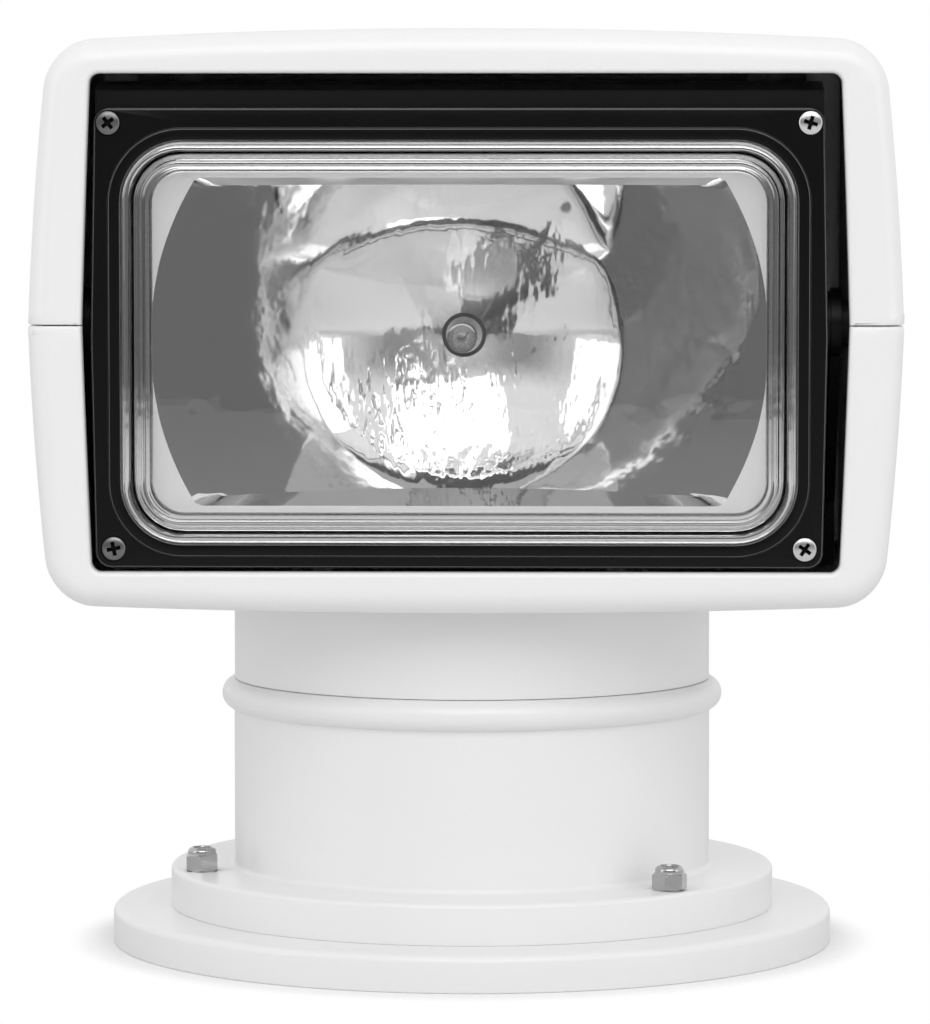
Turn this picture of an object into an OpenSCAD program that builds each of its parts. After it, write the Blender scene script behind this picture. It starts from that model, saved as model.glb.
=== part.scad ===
// Marine searchlight: a lamp that tilts in a two-part head, on a neck that turns on a round base.
// The lamp faces -Y, +Z is up, and the origin is the centre of the mounting plate's underside.

/* [Mounting plate] */
// Diameter of the plate that stands on the deck
plate_d = 190; // [184:1:210]
// Thickness of the plate
plate_t = 9.5; // [8:0.5:14]
// Rounding of the plate's upper edge
plate_round = 2; // [0.5:0.5:4]
// Diameter of the cable hole in the plate
cable_hole_d = 26; // [22:1:34]
// Diameter of the grommet's own hole
cable_d = 14; // [8:1:16]
// Diameter of the circle of deck screws
deck_screw_pcd = 92; // [80:1:100]
// Diameter of a deck screw hole
deck_screw_d = 5.5; // [4:0.5:7]
// Number of deck screws
deck_screws = 4; // [3:1:8]

/* [Base housing] */
// Diameter of the round housing
base_d = 125.8; // [120:0.2:136]
// How far the flange that is bolted to the plate stands out from the housing
flange_out = 16.8; // [16:0.2:20]
// Thickness of the flange
flange_t = 10.5; // [8:0.5:14]
// Wall of the housing
base_wall = 4; // [3:0.5:5]
// Height from the plate to the middle of the rolled bead
base_h = 56.1; // [52:0.1:70]
// Radius of the bead's round section
bead_r = 4; // [3.5:0.1:5]
// How far the bead stands out from the housing
bead_out = 3.2; // [2:0.1:4]
// Thickness of the inner deck that carries the bearing
deck_t = 4; // [3:0.5:6]

/* [Studs] */
// Distance from the housing's wall to a stud's axis
stud_out = 10; // [9:0.5:12]
// Diameter of a stud
stud_d = 5; // [4:0.5:6]
// Number of studs
stud_count = 3; // [3:1:6]
// Angle of the first stud, from +X
stud_angle = 75; // [0:1:119]
// Nut size across its flats
nut_af = 8; // [7:0.5:10]
// Height of a nut with its locking collar
nut_h = 6.2; // [4:0.2:7]

/* [Pan drive] */
// Outside diameter of the hollow pan shaft
shaft_d = 20; // [18:1:24]
// Bore of the pan shaft, for the lamp's leads
shaft_bore_d = 14; // [10:1:15]
// Length of the bearing hub below the deck
hub_l = 14; // [10:1:18]
// Wall of the pan bush
bush_wall = 4; // [3:0.5:5]
// Face width of the pan gear
pan_gear_t = 6; // [4:0.5:8]
// Teeth of the pan gear
pan_gear_teeth = 60; // [56:1:64]
// Teeth of the pan pinion
pan_pinion_teeth = 18; // [17:1:20]
// Diameter of the pan motor
pan_motor_d = 28; // [24:1:30]
// Length of the pan motor
pan_motor_l = 28; // [20:1:32]

/* [Neck] */
// Diameter of the turning neck
neck_d = 125.6; // [120:0.2:136]
// Wall of the neck
neck_wall = 3.5; // [3:0.5:5]
// Height of the neck between the bead and the head
neck_h = 22.8; // [20:0.2:40]
// Thickness of the neck's floor and of its top flange
neck_floor_t = 4; // [3:0.5:6]
// Gap between the turning neck and the fixed bead
swivel_gap = 0.3; // [0.3:0.1:1]

/* [Head] */
// Width of the head at its middle
head_w = 218; // [214:1:230]
// Height of the head
head_h = 145.4; // [142:0.2:156]
// Distance from the pan axis to the front rim
head_front = 85; // [82:1:92]
// Distance from the pan axis to the back of the head
head_back = 78; // [74:1:90]
// Wall of the shells
shell_wall = 3.5; // [3:0.5:4.5]
// Radius of the head's corners, seen from the front
corner_r = 11.5; // [10:0.5:16]
// Rounding of the rim's outer edge
front_round = 6; // [4:0.5:8]
// Length of the rounded back
back_round = 42; // [30:1:50]
// How far the rounded back draws in
back_draw = 26; // [16:1:32]
// How far the straight draft draws the sides in, from the parting line to the corners
side_draft = 2.4; // [1:0.2:4]
// How far the sides curve in besides, at the corners
side_sag = 3; // [2:0.2:5]
// How far the top draws in at the corners
crown_top = 3.2; // [1:0.2:5]
// How far the bottom draws in at the corners
crown_bottom = 2; // [1:0.2:4]
// How far the parting line lies below the head's middle
part_drop = 0.8; // [0:0.1:3]
// Width of the rim at the top
rim_top = 11.2; // [9:0.1:12]
// Width of the rim at the bottom
rim_bottom = 10.6; // [8:0.1:12]
// Width of the rim at each side
rim_side = 13.8; // [12:0.2:15]
// Thickness of the rim from front to back
rim_t = 4; // [3:0.5:6]
// Height of the seat inside the lower shell, above the neck
seat_t = 9.6; // [9:0.2:14]

/* [Lamp] */
// Distance from the rim's front to the tilt axis
tilt_setback = 25; // [24:1:30]
// How far the lamp stands off the head's middle, to leave room for the bracket
lamp_x = -1.6; // [-2:0.2:0]
// How far the lamp's axis lies below the tilt axis
lamp_drop = 4.4; // [3:0.1:5]
// Gap beside the bezel, in the opening
bezel_side_gap = 3.6; // [3.6:0.2:6]
// Gap above the bezel, in the opening
bezel_top_gap = 8.4; // [7:0.2:10]
// Gap below the bezel, in the opening
bezel_bottom_gap = 0.8; // [0.8:0.1:2]
// Thickness of the bezel
bezel_t = 3.5; // [2.5:0.5:4.5]
// Width of the bezel's frame at each side of the lens
bezel_border_x = 7.9; // [7:0.1:10]
// Width of the bezel's frame above and below the lens
bezel_border_z = 7.4; // [7:0.1:10]
// Radius of the lens's corners
lens_corner_r = 15; // [10:0.5:20]
// Width of the moulded edge of the lens
lens_edge = 6.3; // [5:0.1:9]
// Thickness of the lens's pane
lens_t = 4; // [3:0.5:5]
// Height of the reflector between its flat top and bottom
mirror_h = 82; // [74:1:84]
// Depth of the reflector's bowl
mirror_depth = 54; // [50:1:64]
// Wall of the reflector
mirror_wall = 1.6; // [1.2:0.2:2.5]
// Diameter of the bulb's glass
bulb_d = 7.5; // [7:0.5:11]
// Wall of the lamp carrier
carrier_wall = 2.5; // [2:0.5:3.5]

/* [Tilt drive] */
// Diameter of a trunnion pin
trunnion_d = 8; // [6:0.5:10]
// Thickness of the yoke's strip
yoke_t = 2.5; // [2:0.5:3]
// Width of the yoke's strip
yoke_w = 24; // [20:1:26]
// Teeth of a whole circle of the tilt sector
sector_teeth = 132; // [128:1:136]
// Teeth of the tilt pinion
tilt_pinion_teeth = 18; // [17:1:20]
// Thickness of the tilt sector
sector_t = 3; // [2:0.5:4]
// Diameter of the tilt motor
tilt_motor_d = 28; // [24:1:30]
// Length of the tilt motor
tilt_motor_l = 40; // [30:1:44]
// Module of the gear teeth, the pitch diameter over the number of teeth
gear_module = 1; // [1:0.02:1.06]

/* [Hidden] */
$fn = 64;

// Fits: a turning pair, a seated pair, and a hole that a screw passes
running_gap = 0.05;
seat_gap = 0.02;
screw_gap = 0.15;
eps = 0.01;

// Heights of the base, from the deck up
bead_z = plate_t + base_h;
neck_z = bead_z + bead_r + swivel_gap;
shaft_flange_t = 4;
washer_t = 1.5;
bush_flange_t = 2;
pan_gear_z = neck_z - shaft_flange_t - pan_gear_t;
washer_z = pan_gear_z - running_gap - washer_t;
deck_top = washer_z - bush_flange_t;
deck_z = deck_top - deck_t;
hub_z = deck_z - hub_l;
base_inner_r = base_d / 2 - base_wall;
bush_r = shaft_d / 2 + running_gap + bush_wall;
hub_wall = 5;
ring_t = 1.2;
ring_groove = 0.8;
ring_z = hub_z - ring_t - running_gap;
pan_center = gear_module * (pan_gear_teeth + pan_pinion_teeth) / 2;
pan_motor_angle = 140;
drive_shaft_d = 5;
gasket_t = 1.5;
gasket_w = 4;
gasket_r = base_d / 2 + gasket_w;
flange_d = base_d + 2 * flange_out;
stud_pcd = base_d + 2 * stud_out;
stud_head_t = 3.5;
stud_sink = 4;

// Heights of the neck and the head
neck_top = neck_z + neck_h;
seat_drop = 0.5;
head_z = neck_top + seat_drop;
head_mid = head_z + head_h / 2;
part_z = head_mid - part_drop;
seat_z = neck_top + seat_t;
neck_hole_r = 40;
neck_screw_pcd = neck_d - 2 * neck_wall - 12;
neck_screw_d = 4;
neck_screw_sink = 3;
seat_r = neck_d / 2 + 2;
floor_r = seat_r + 14;
seat_ahead = 6;
skirt_gap = 1;
skirt_wall = 3;
skirt_l = 7;

// The opening in the head's front
open_w = head_w - 2 * rim_side;
open_h = head_h - rim_top - rim_bottom;
open_mid = head_z + rim_bottom + open_h / 2;
open_corner_r = 2.5;
open_sag = 0.8;

// Places along the tilt axis and in front of it
tilt_y = tilt_setback - head_front;
tilt_z = part_z;
lamp_z = tilt_z - lamp_drop;
tilt_center = gear_module * (sector_teeth + tilt_pinion_teeth) / 2;
bezel_inset = 4;
bezel_front = tilt_setback - bezel_inset;
bezel_back = bezel_front - bezel_t;
bezel_w = open_w - 2 * bezel_side_gap;
bezel_h = open_h - bezel_top_gap - bezel_bottom_gap;
bezel_mid = head_z + rim_bottom + bezel_bottom_gap + bezel_h / 2;
bezel_draft = 1.6;
bezel_corner_r = 4;
lip_w = 3;
lip_t = 1;
bezel_screw_d = 3;
bezel_screw_head_d = 5.9;
bezel_screw_sink = 1.6;
bezel_screw_proud = 0.6;
bezel_screw_top = [bezel_w / 2 - 4.6, bezel_h / 2 - 3.8];
bezel_screw_bottom = [bezel_w / 2 - 5.6, 4.8 - bezel_h / 2];
plate_front_t = 3.5;
carrier_front = bezel_back;
carrier_back = carrier_front - plate_front_t;
drum_gap = 0.6;
drum_r = min(open_mid + open_h / 2 - tilt_z, tilt_z - open_mid + open_h / 2) - drum_gap;
carrier_w = bezel_w - 2.4;
cheek_t = 3;
carrier_reach = 26;

// The lamp: lens, gasket, reflector and bulb
lens_w = bezel_w - 2 * bezel_border_x;
lens_h = bezel_h - 2 * bezel_border_z;
lens_gap = 0.3;
lens_lip = 1.5;
lens_gasket_t = 1;
lens_lip_front = carrier_front - lens_gasket_t;
lens_front = bezel_front + 1.5;
mirror_flange_t = 2;
mirror_r = lens_w / 2 - lens_edge;
mirror_back = carrier_back - mirror_depth;
bulb_hole_r = bulb_d / 2 + 2;
bulb_past_focus = 6;
bulb_l = mirror_r * mirror_r / (4 * mirror_depth) + bulb_past_focus;
bulb_collar_r = bulb_d / 2 + 1;
bulb_collar_t = 2;
holder_flange_r = bulb_hole_r + 6;
holder_flange_t = 2.5;
holder_r = bulb_hole_r + 2;
holder_l = 16;
holder_end_t = 4;
clip_wire = 1.2;

// The yoke, the trunnions and the tilt drive
cheek_x = carrier_w / 2;
bush_flange_d = trunnion_d + 8;
trunnion_bush_wall = 2;
trunnion_flange_t = 1.5;
yoke_gap = trunnion_flange_t + 1.1;
yoke_x = cheek_x + yoke_gap;
yoke_boss_r = 9;
yoke_y = tilt_y + 22;
yoke_screw_x = 45;
yoke_screw_d = 4;
yoke_screw_grip = 5;
yoke_screw_head_t = 2;
pin_head_t = 1.5;
pin_head_r = trunnion_d / 2 + 3;
pin_end = 2;
sector_half_angle = 32;
sector_web = 8;
sector_x = lamp_x + cheek_x - cheek_t - sector_t;
sector_screw_r = 14;
sector_screw_d = 3;
tilt_motor_y = tilt_y + tilt_center;
bracket_t = 2;
bracket_x = sector_x - 0.5 - 2 - bracket_t;
motor_boss_r = 5;
motor_screw_r = 9.5;
motor_screw_d = 3;
motor_screw_grip = 5;
motor_screw_head_t = 1.8;
motor_shaft_d = 4;

// Screws that join the two shells
shell_screw_d = 4;
shell_boss_r = 4.5;
boss_room = 4.5;
front_boss = [head_w / 2 - shell_wall - 3 * boss_room, yoke_y + yoke_w + shell_boss_r + boss_room];
back_boss = [head_w / 2 - back_draw - boss_room, head_back - back_round + 2.5 * boss_room];
shell_screw_places = [for (side = [-1, 1], place = [front_boss, back_boss]) [side * place.x, place.y]];
shell_screw_head_t = 2.6;
shell_screw_sink = 3 * shell_screw_d;
shell_screw_grip = 3 * shell_screw_d;

// A ring of places on a circle
function around(count, circle_d, first = 0) =
    [for (i = [0 : count - 1]) circle_d / 2 * [cos(first + 360 * i / count), sin(first + 360 * i / count)]];

// Outline of a rounded rectangle, with extra points along its straight stretches
function rounded(half, r, arc_steps = 5, side_steps = 6) =
    [for (q = [0 : 3])
        let (a = 90 * q,
             turn = [[cos(a), -sin(a)], [sin(a), cos(a)]],
             quarter = q % 2 == 0 ? half : [half.y, half.x],
             mid = [quarter.x - r, quarter.y - r])
        each [for (i = [0 : arc_steps + side_steps - 1])
            let (b = 90 * min(i, arc_steps) / arc_steps,
                 k = max(i - arc_steps, 0) / side_steps)
            turn * [mid.x * (1 - 2 * k) + r * cos(b), mid.y + r * sin(b)]]];

// A point drawn in towards the corners, sideways by a straight draft and a curve, and up and down
function barrel(p, draft, sag, drop) =
    let (up = (p.y + head_mid - part_z) / (head_h / 2),
         out = p.x / (head_w / 2))
    [p.x - out * (draft * abs(up) + sag * up * up),
     p.y - sign(p.y) * drop * out * out];

// Stations along the head: distance along Y and how far the outline draws in there
function front_stations(inset) =
    [for (a = [0 : 30 : 90]) [front_round * (1 - cos(a)) - head_front, inset + front_round * (1 - sin(a))]];
function back_stations(inset) =
    [for (a = [0 : 15 : 90])
        [head_back - inset - back_round * (1 - sin(a)), inset + back_draw * (1 - cos(a))]];

// One section of the head at a station
function head_section(station) =
    let (draw = station[1],
         r = max(corner_r - draw, 3) + (station[0] > 0 ? 0.7 * draw : 0))
    [for (p = rounded([head_w / 2 - draw, head_h / 2 - draw], r))
        let (q = barrel(p, side_draft, side_sag, p.y > 0 ? crown_top : crown_bottom))
        [q.x, station[0], head_mid + q.y]];

// A solid through a row of closed sections with equal counts of points
module loft(sections) {
    n = len(sections[0]);
    last = len(sections) - 1;
    skin = [for (s = [0 : last - 1], i = [0 : n - 1])
        let (j = (i + 1) % n)
        each [[s * n + i, s * n + j, (s + 1) * n + i], [s * n + j, (s + 1) * n + j, (s + 1) * n + i]]];
    ends = [[for (i = [n - 1 : -1 : 0]) i], [for (i = [0 : n - 1]) last * n + i]];
    polyhedron([for (s = sections) each s], concat(skin, ends));
}

// Half-angle of a gear tooth at a radius, in degrees
function roll(r, base) = sqrt(pow(r / base, 2) - 1) * 180 / PI - acos(base / r);
function tooth_half(r, pitch, base, teeth) =
    90 / teeth - 360 * gear_backlash / (4 * PI * pitch) + roll(pitch, base) - roll(max(r, base), base);
gear_backlash = 0.2;
pressure_angle = 20;

// Points of one involute tooth, from its left root to its right root
function tooth(at, teeth) =
    let (pitch = gear_module * teeth / 2,
         base = pitch * cos(pressure_angle),
         root = pitch - 1.25 * gear_module,
         tip = pitch + 0.95 * gear_module,
         radii = [root, max(root, base) + 0.1, pitch, tip])
    [for (side = [-1, 1], i = [0 : 3])
        let (r = radii[side < 0 ? i : 3 - i],
             a = at + side * tooth_half(r, pitch, base, teeth))
        r * [cos(a), sin(a)]];

// A whole gear wheel, with a tooth pointing along +X
module gear(teeth) {
    polygon([for (i = [0 : teeth - 1]) each tooth(360 * i / teeth, teeth)]);
}

// An outline in X and Z, extruded along Y, and one in Y and Z, extruded along X
module along_y(y0, length) {
    translate([0, y0 + length, 0]) rotate([90, 0, 0]) linear_extrude(length) children();
}
module along_x(x0, length) {
    translate([x0, 0, 0]) rotate([90, 0, 90]) linear_extrude(length) children();
}

// A piece on the lamp's axis, at a distance in front of the tilt axis
module on_lamp(front) {
    translate([lamp_x, tilt_y - front, lamp_z]) rotate([90, 0, 0]) children();
}

// A slab in front of the tilt axis with an outline in X and Z
module lamp_slab(back, front, mid_z) {
    along_y(tilt_y - front, front - back) translate([lamp_x, mid_z]) children();
}

// A round pin from a low to a high end, and a screw with its head above z = 0
module rod(r, low, high) {
    translate([0, 0, low]) cylinder(r = r, h = high - low);
}
function head_d(d) = 1.86 * d;
module screw(d, length, head_t, head) {
    rod(d / 2, -length, eps);
    rod(head / 2, 0, head_t);
}
module at_each(places) {
    for (p = places) translate([p.x, p.y, 0]) children();
}
module frame_outline(w, h, r) {
    polygon(rounded([w / 2, h / 2], r));
}

// Base
module mounting_plate() color("gainsboro") {
    countersink = 2.5;
    difference() {
        rotate_extrude() difference() {
            union() {
                square([plate_d / 2 - plate_round, plate_t]);
                square([plate_d / 2, plate_t - plate_round]);
                translate([plate_d / 2 - plate_round, plate_t - plate_round]) circle(plate_round);
            }
            translate([-plate_d, -eps]) square([plate_d, 2 * plate_t]);
        }
        rod(cable_hole_d / 2, -1, plate_t + 1);
        at_each(around(deck_screws, deck_screw_pcd, 45)) {
            rod(deck_screw_d / 2, -1, plate_t + 1);
            translate([0, 0, plate_t - countersink])
                cylinder(r1 = deck_screw_d / 2, r2 = deck_screw_d / 2 + countersink + eps,
                         h = countersink + eps);
        }
        at_each(around(stud_count, stud_pcd, stud_angle)) {
            rod(stud_d / 2 + seat_gap, -1, plate_t + 1);
            rod(stud_d + seat_gap, -1, stud_sink);
        }
    }
}
module cable_grommet() color("dimgray") {
    lip = 3;
    lip_t = 2;
    difference() {
        union() {
            rod(cable_hole_d / 2 - seat_gap, lip_t / 2, plate_t);
            rod(cable_hole_d / 2 + lip, plate_t, plate_t + lip_t);
        }
        rod(cable_d / 2, 0, plate_t + lip_t + 1);
    }
}
module base_gasket() color("dimgray") {
    translate([0, 0, plate_t]) difference() {
        rod(gasket_r + gasket_w / 2 - seat_gap, 0, gasket_t - seat_gap);
        rod(gasket_r - gasket_w / 2 + seat_gap, -1, gasket_t + 1);
    }
}
module base_housing() color("white") {
    edge = 1.2;
    floor_hole = base_inner_r;
    difference() {
        rotate_extrude() {
            translate([floor_hole, plate_t]) {
                square([flange_d / 2 - floor_hole - edge, flange_t]);
                square([flange_d / 2 - floor_hole, flange_t - edge]);
            }
            translate([flange_d / 2 - edge, plate_t + flange_t - edge]) circle(edge);
            translate([base_inner_r, plate_t]) square([base_wall, base_h]);
            difference() {
                translate([base_d / 2 + bead_out - bead_r, bead_z]) circle(bead_r);
                translate([0, plate_t]) square([base_inner_r, 2 * base_h]);
            }
            translate([bush_r + seat_gap, deck_z]) square([base_d / 2 - 1 - bush_r, deck_t]);
            translate([bush_r + seat_gap, hub_z]) square([hub_wall, hub_l + deck_t]);
        }
        rod(gasket_r + gasket_w / 2, plate_t - 1, plate_t + gasket_t);
        at_each(around(stud_count, stud_pcd, stud_angle)) rod(stud_d / 2 + screw_gap, 0, 2 * bead_z);
        on_pan_motor() {
            rod(motor_boss_r + screw_gap, 0, 2 * deck_top);
            at_each(around(2, 2 * motor_screw_r)) rod(motor_screw_d / 2 + screw_gap, 0, 2 * deck_top);
        }
    }
    // The land between the gasket's groove and the housing's inside
    translate([0, 0, plate_t]) difference() {
        rod(gasket_r - gasket_w / 2, 0, gasket_t);
        rod(floor_hole, -1, gasket_t + 1);
    }
}
module mounting_studs() color("silver") {
    below_collar = 0.6;
    top = plate_t + flange_t + nut_h - below_collar;
    at_each(around(stud_count, stud_pcd, stud_angle)) {
        rod(stud_d / 2, stud_sink - stud_head_t, top);
        rod(stud_d, stud_sink - stud_head_t, stud_sink);
    }
}
module stud_nuts() color("silver") {
    hex_h = 0.7 * nut_h;
    collar_r = 0.46 * nut_af;
    collar_round = 1.2;
    corner_r = nut_af / 2 / cos(30);
    chamfer = 0.6;
    at_each(around(stud_count, stud_pcd, stud_angle))
        translate([0, 0, plate_t + flange_t]) difference() {
            union() {
                intersection() {
                    cylinder(r = corner_r, h = hex_h, $fn = 6);
                    cylinder(r1 = corner_r + hex_h - chamfer, r2 = corner_r - chamfer, h = hex_h);
                }
                rotate_extrude() {
                    square([collar_r, nut_h - collar_round]);
                    square([collar_r - collar_round, nut_h]);
                    translate([collar_r - collar_round, nut_h - collar_round]) intersection() {
                        circle(collar_round);
                        square(collar_round);
                    }
                }
            }
            rod(stud_d / 2 + seat_gap, -1, nut_h + 1);
        }
}

// Pan drive
module on_pan_motor() {
    rotate(pan_motor_angle) translate([pan_center, 0, 0]) children();
}
module pan_bush() color("peru") {
    difference() {
        union() {
            rod(bush_r, hub_z, deck_top + eps);
            rod(bush_r + hub_wall - 1, deck_top, deck_top + bush_flange_t);
        }
        rod(shaft_d / 2 + running_gap, hub_z - 1, washer_z + 1);
    }
}
module thrust_washer() color("ivory") {
    difference() {
        rod(bush_r + hub_wall - 1, washer_z, washer_z + washer_t);
        rod(shaft_d / 2 + running_gap, washer_z - 1, washer_z + washer_t + 1);
    }
}
module pan_motor() color("gray") {
    boss_l = deck_t;
    on_pan_motor() difference() {
        union() {
            rod(pan_motor_d / 2, deck_z - pan_motor_l, deck_z);
            rod(motor_boss_r, deck_z - eps, deck_z + boss_l);
        }
        rod(drive_shaft_d / 2 + running_gap, deck_z - pan_motor_l / 2, deck_top + 1);
        at_each(around(2, 2 * motor_screw_r)) rod(motor_screw_d / 2 + seat_gap, deck_z - 6, deck_top);
    }
}
module pan_motor_screws() color("silver") {
    on_pan_motor() at_each(around(2, 2 * motor_screw_r))
        translate([0, 0, deck_top])
            screw(motor_screw_d, deck_t + motor_screw_grip, motor_screw_head_t, head_d(motor_screw_d));
}
module pan_pinion() color("gold") {
    on_pan_motor() {
        translate([0, 0, pan_gear_z - 0.5]) linear_extrude(pan_gear_t + 1)
            rotate(180 + 180 / pan_pinion_teeth) gear(pan_pinion_teeth);
        rod(drive_shaft_d / 2, deck_z - pan_motor_l / 2 + 1, pan_gear_z);
    }
}
module pan_gear() color("ivory") {
    holes = 6;
    hole_r = 3.5;
    hole_share = 0.66;
    translate([0, 0, pan_gear_z]) rotate(pan_motor_angle) linear_extrude(pan_gear_t) difference() {
        gear(pan_gear_teeth);
        circle(shaft_d / 2 + seat_gap);
        at_each(around(holes, gear_module * pan_gear_teeth * hole_share, 180 / holes)) circle(hole_r);
    }
}
module pan_shaft() color("silver") {
    difference() {
        union() {
            rod(shaft_d / 2, ring_z - 3, neck_z);
            rod(shaft_flange_r, neck_z - shaft_flange_t, neck_z);
        }
        rod(shaft_bore_d / 2, 0, neck_z + 1);
        difference() {
            rod(shaft_d, ring_z - seat_gap, ring_z + ring_t + seat_gap);
            rod(shaft_d / 2 - ring_groove, 0, neck_z);
        }
        at_each(around(4, shaft_screw_pcd, 45)) rod(motor_screw_d / 2 + screw_gap, 0, neck_z + 1);
    }
}
shaft_flange_r = shaft_d / 2 + 12;
shaft_screw_pcd = shaft_d + 13;
module pan_retaining_ring() color("dimgray") {
    slot = 3;
    difference() {
        rod(shaft_d / 2 + 3, ring_z, ring_z + ring_t);
        rod(shaft_d / 2 - ring_groove + seat_gap, 0, neck_z);
        translate([0, -slot / 2, ring_z - 1]) cube([shaft_d, slot, ring_t + 2]);
    }
}
module shaft_screws() color("silver") {
    at_each(around(4, shaft_screw_pcd, 45))
        translate([0, 0, neck_z + neck_floor_t])
            screw(motor_screw_d, neck_floor_t + shaft_flange_t, motor_screw_head_t, head_d(motor_screw_d));
}

// Neck
module neck() color("white") {
    outer_r = neck_d / 2;
    skirt_r = base_inner_r - skirt_gap;
    difference() {
        rotate_extrude() {
            translate([outer_r - neck_wall, neck_z]) square([neck_wall, neck_h]);
            translate([shaft_bore_d / 2, neck_z]) square([outer_r - shaft_bore_d / 2 - 1, neck_floor_t]);
            translate([neck_hole_r, neck_top - neck_floor_t])
                square([outer_r - neck_hole_r - 1, neck_floor_t]);
            translate([skirt_r - skirt_wall, neck_z - skirt_l]) square([skirt_wall, skirt_l + 1]);
        }
        at_each(around(4, shaft_screw_pcd, 45))
            rod(motor_screw_d / 2 + screw_gap, 0, neck_z + neck_floor_t + 1);
        at_each(around(4, neck_screw_pcd, 45)) rod(neck_screw_d / 2 + seat_gap, neck_z + 10, neck_top + 1);
    }
}
module neck_screws() color("silver") {
    at_each(around(4, neck_screw_pcd, 45))
        translate([0, 0, seat_z - neck_screw_sink])
            screw(neck_screw_d, seat_t - neck_screw_sink + neck_floor_t, 2.6, head_d(neck_screw_d));
}

// Head shells
module head_outside() {
    loft([for (s = concat(front_stations(0), back_stations(0))) head_section(s)]);
}
module head_inside() {
    loft([for (s = concat([[rim_t - head_front, shell_wall]], back_stations(shell_wall))) head_section(s)]);
}
module head_opening() {
    along_y(-head_front - 1, rim_t + 2) translate([0, head_mid])
        polygon([for (p = rounded([open_w / 2, open_h / 2], open_corner_r))
            barrel([p.x, p.y + open_mid - head_mid], side_draft, open_sag, 0)]);
}
module head_shell() {
    difference() {
        head_outside();
        difference() {
            head_inside();
            at_each(shell_screw_places) rod(shell_boss_r, head_z - 1, head_z + head_h + 1);
            intersection() {
                rod(floor_r, head_z - 1, seat_z);
                translate([-head_w, yoke_y - seat_ahead, 0]) cube([2 * head_w, 2 * head_w, head_z + head_h]);
            }
        }
        head_opening();
    }
}
module lower_shell() color("white") {
    difference() {
        union() {
            intersection() {
                head_shell();
                translate([-head_w, -head_w, 0]) cube([2 * head_w, 2 * head_w, part_z]);
            }
            rod(seat_r, neck_top, head_z + shell_wall + 0.5);
        }
        rod(neck_hole_r, 0, part_z);
        at_each(shell_screw_places) {
            rod(shell_screw_d / 2 + screw_gap, 0, part_z + 1);
            rod(shell_screw_d + screw_gap, 0, head_z + shell_screw_sink);
        }
        at_each(around(4, neck_screw_pcd, 45)) {
            rod(neck_screw_d / 2 + screw_gap, 0, seat_z + 1);
            rod(neck_screw_d + screw_gap, seat_z - neck_screw_sink, seat_z + 1);
        }
        at_each(yoke_screw_places) rod(yoke_screw_d / 2 + seat_gap, seat_z - 6, seat_z + 1);
        at_each(bracket_screw_places) rod(yoke_screw_d / 2 + seat_gap, seat_z - 6, seat_z + 1);
    }
}
module upper_shell() color("white") {
    depth = shell_screw_grip + 2;
    difference() {
        intersection() {
            head_shell();
            translate([-head_w, -head_w, part_z]) cube([2 * head_w, 2 * head_w, head_h]);
        }
        at_each(shell_screw_places) rod(shell_screw_d / 2 + seat_gap, 0, part_z + depth);
    }
}
seal_w = 2;
seal_gap = 0.1;
seal_front = rim_t + 4 - head_front;
function seal_plan(inset) =
    let (row = concat([[seal_front, shell_wall]], back_stations(shell_wall)))
    [for (side = [1, -1]) each [for (i = [0 : len(row) - 1])
        let (s = row[side > 0 ? i : len(row) - 1 - i])
        [side * (head_w / 2 - s[1] - inset), min(s[0], head_back - shell_wall - inset)]]];
module shell_seal() color("dimgray") {
    seal_h = 3;
    inner_w = head_w - 2 * (shell_wall + seal_gap + seal_w);
    translate([0, 0, part_z - seal_h / 2]) linear_extrude(seal_h) difference() {
        polygon(seal_plan(seal_gap));
        polygon(seal_plan(seal_gap + seal_w));
        translate([-inner_w / 2, seal_front - 1]) square([inner_w, 2]);
    }
}
module shell_screws() color("silver") {
    length = part_z - head_z - shell_screw_sink + shell_screw_grip;
    at_each(shell_screw_places) translate([0, 0, head_z + shell_screw_sink]) mirror([0, 0, 1])
        screw(shell_screw_d, length, shell_screw_head_t, head_d(shell_screw_d));
}

// Yoke and trunnions
yoke_screw_places = [for (side = [-1, 1]) [side * yoke_screw_x, yoke_y + yoke_w / 2]];
module yoke() color("silver") {
    bush_hole_r = trunnion_d / 2 + running_gap + trunnion_bush_wall;
    difference() {
        union() {
            translate([lamp_x - yoke_x - yoke_t, yoke_y, seat_z])
                cube([2 * (yoke_x + yoke_t), yoke_w, yoke_t]);
            for (side = [-1, 1]) along_x(lamp_x + side * yoke_x - (side < 0 ? yoke_t : 0), yoke_t) {
                arm_r = 8;
                translate([tilt_y, tilt_z]) circle(yoke_boss_r);
                polygon([[yoke_y, seat_z], [yoke_y + yoke_w, seat_z], [yoke_y + yoke_w, seat_z + arm_r],
                         [tilt_y + yoke_boss_r, tilt_z], [tilt_y - yoke_boss_r, tilt_z],
                         [yoke_y, seat_z + 2 * arm_r]]);
            }
        }
        along_x(lamp_x - 2 * yoke_x, 4 * yoke_x) translate([tilt_y, tilt_z]) circle(bush_hole_r + seat_gap);
        at_each(yoke_screw_places) rod(yoke_screw_d / 2 + screw_gap, 0, part_z);
    }
}
module yoke_screws() color("silver") {
    at_each(yoke_screw_places) translate([0, 0, seat_z + yoke_t])
        screw(yoke_screw_d, yoke_t + yoke_screw_grip, yoke_screw_head_t, head_d(yoke_screw_d));
}
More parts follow.
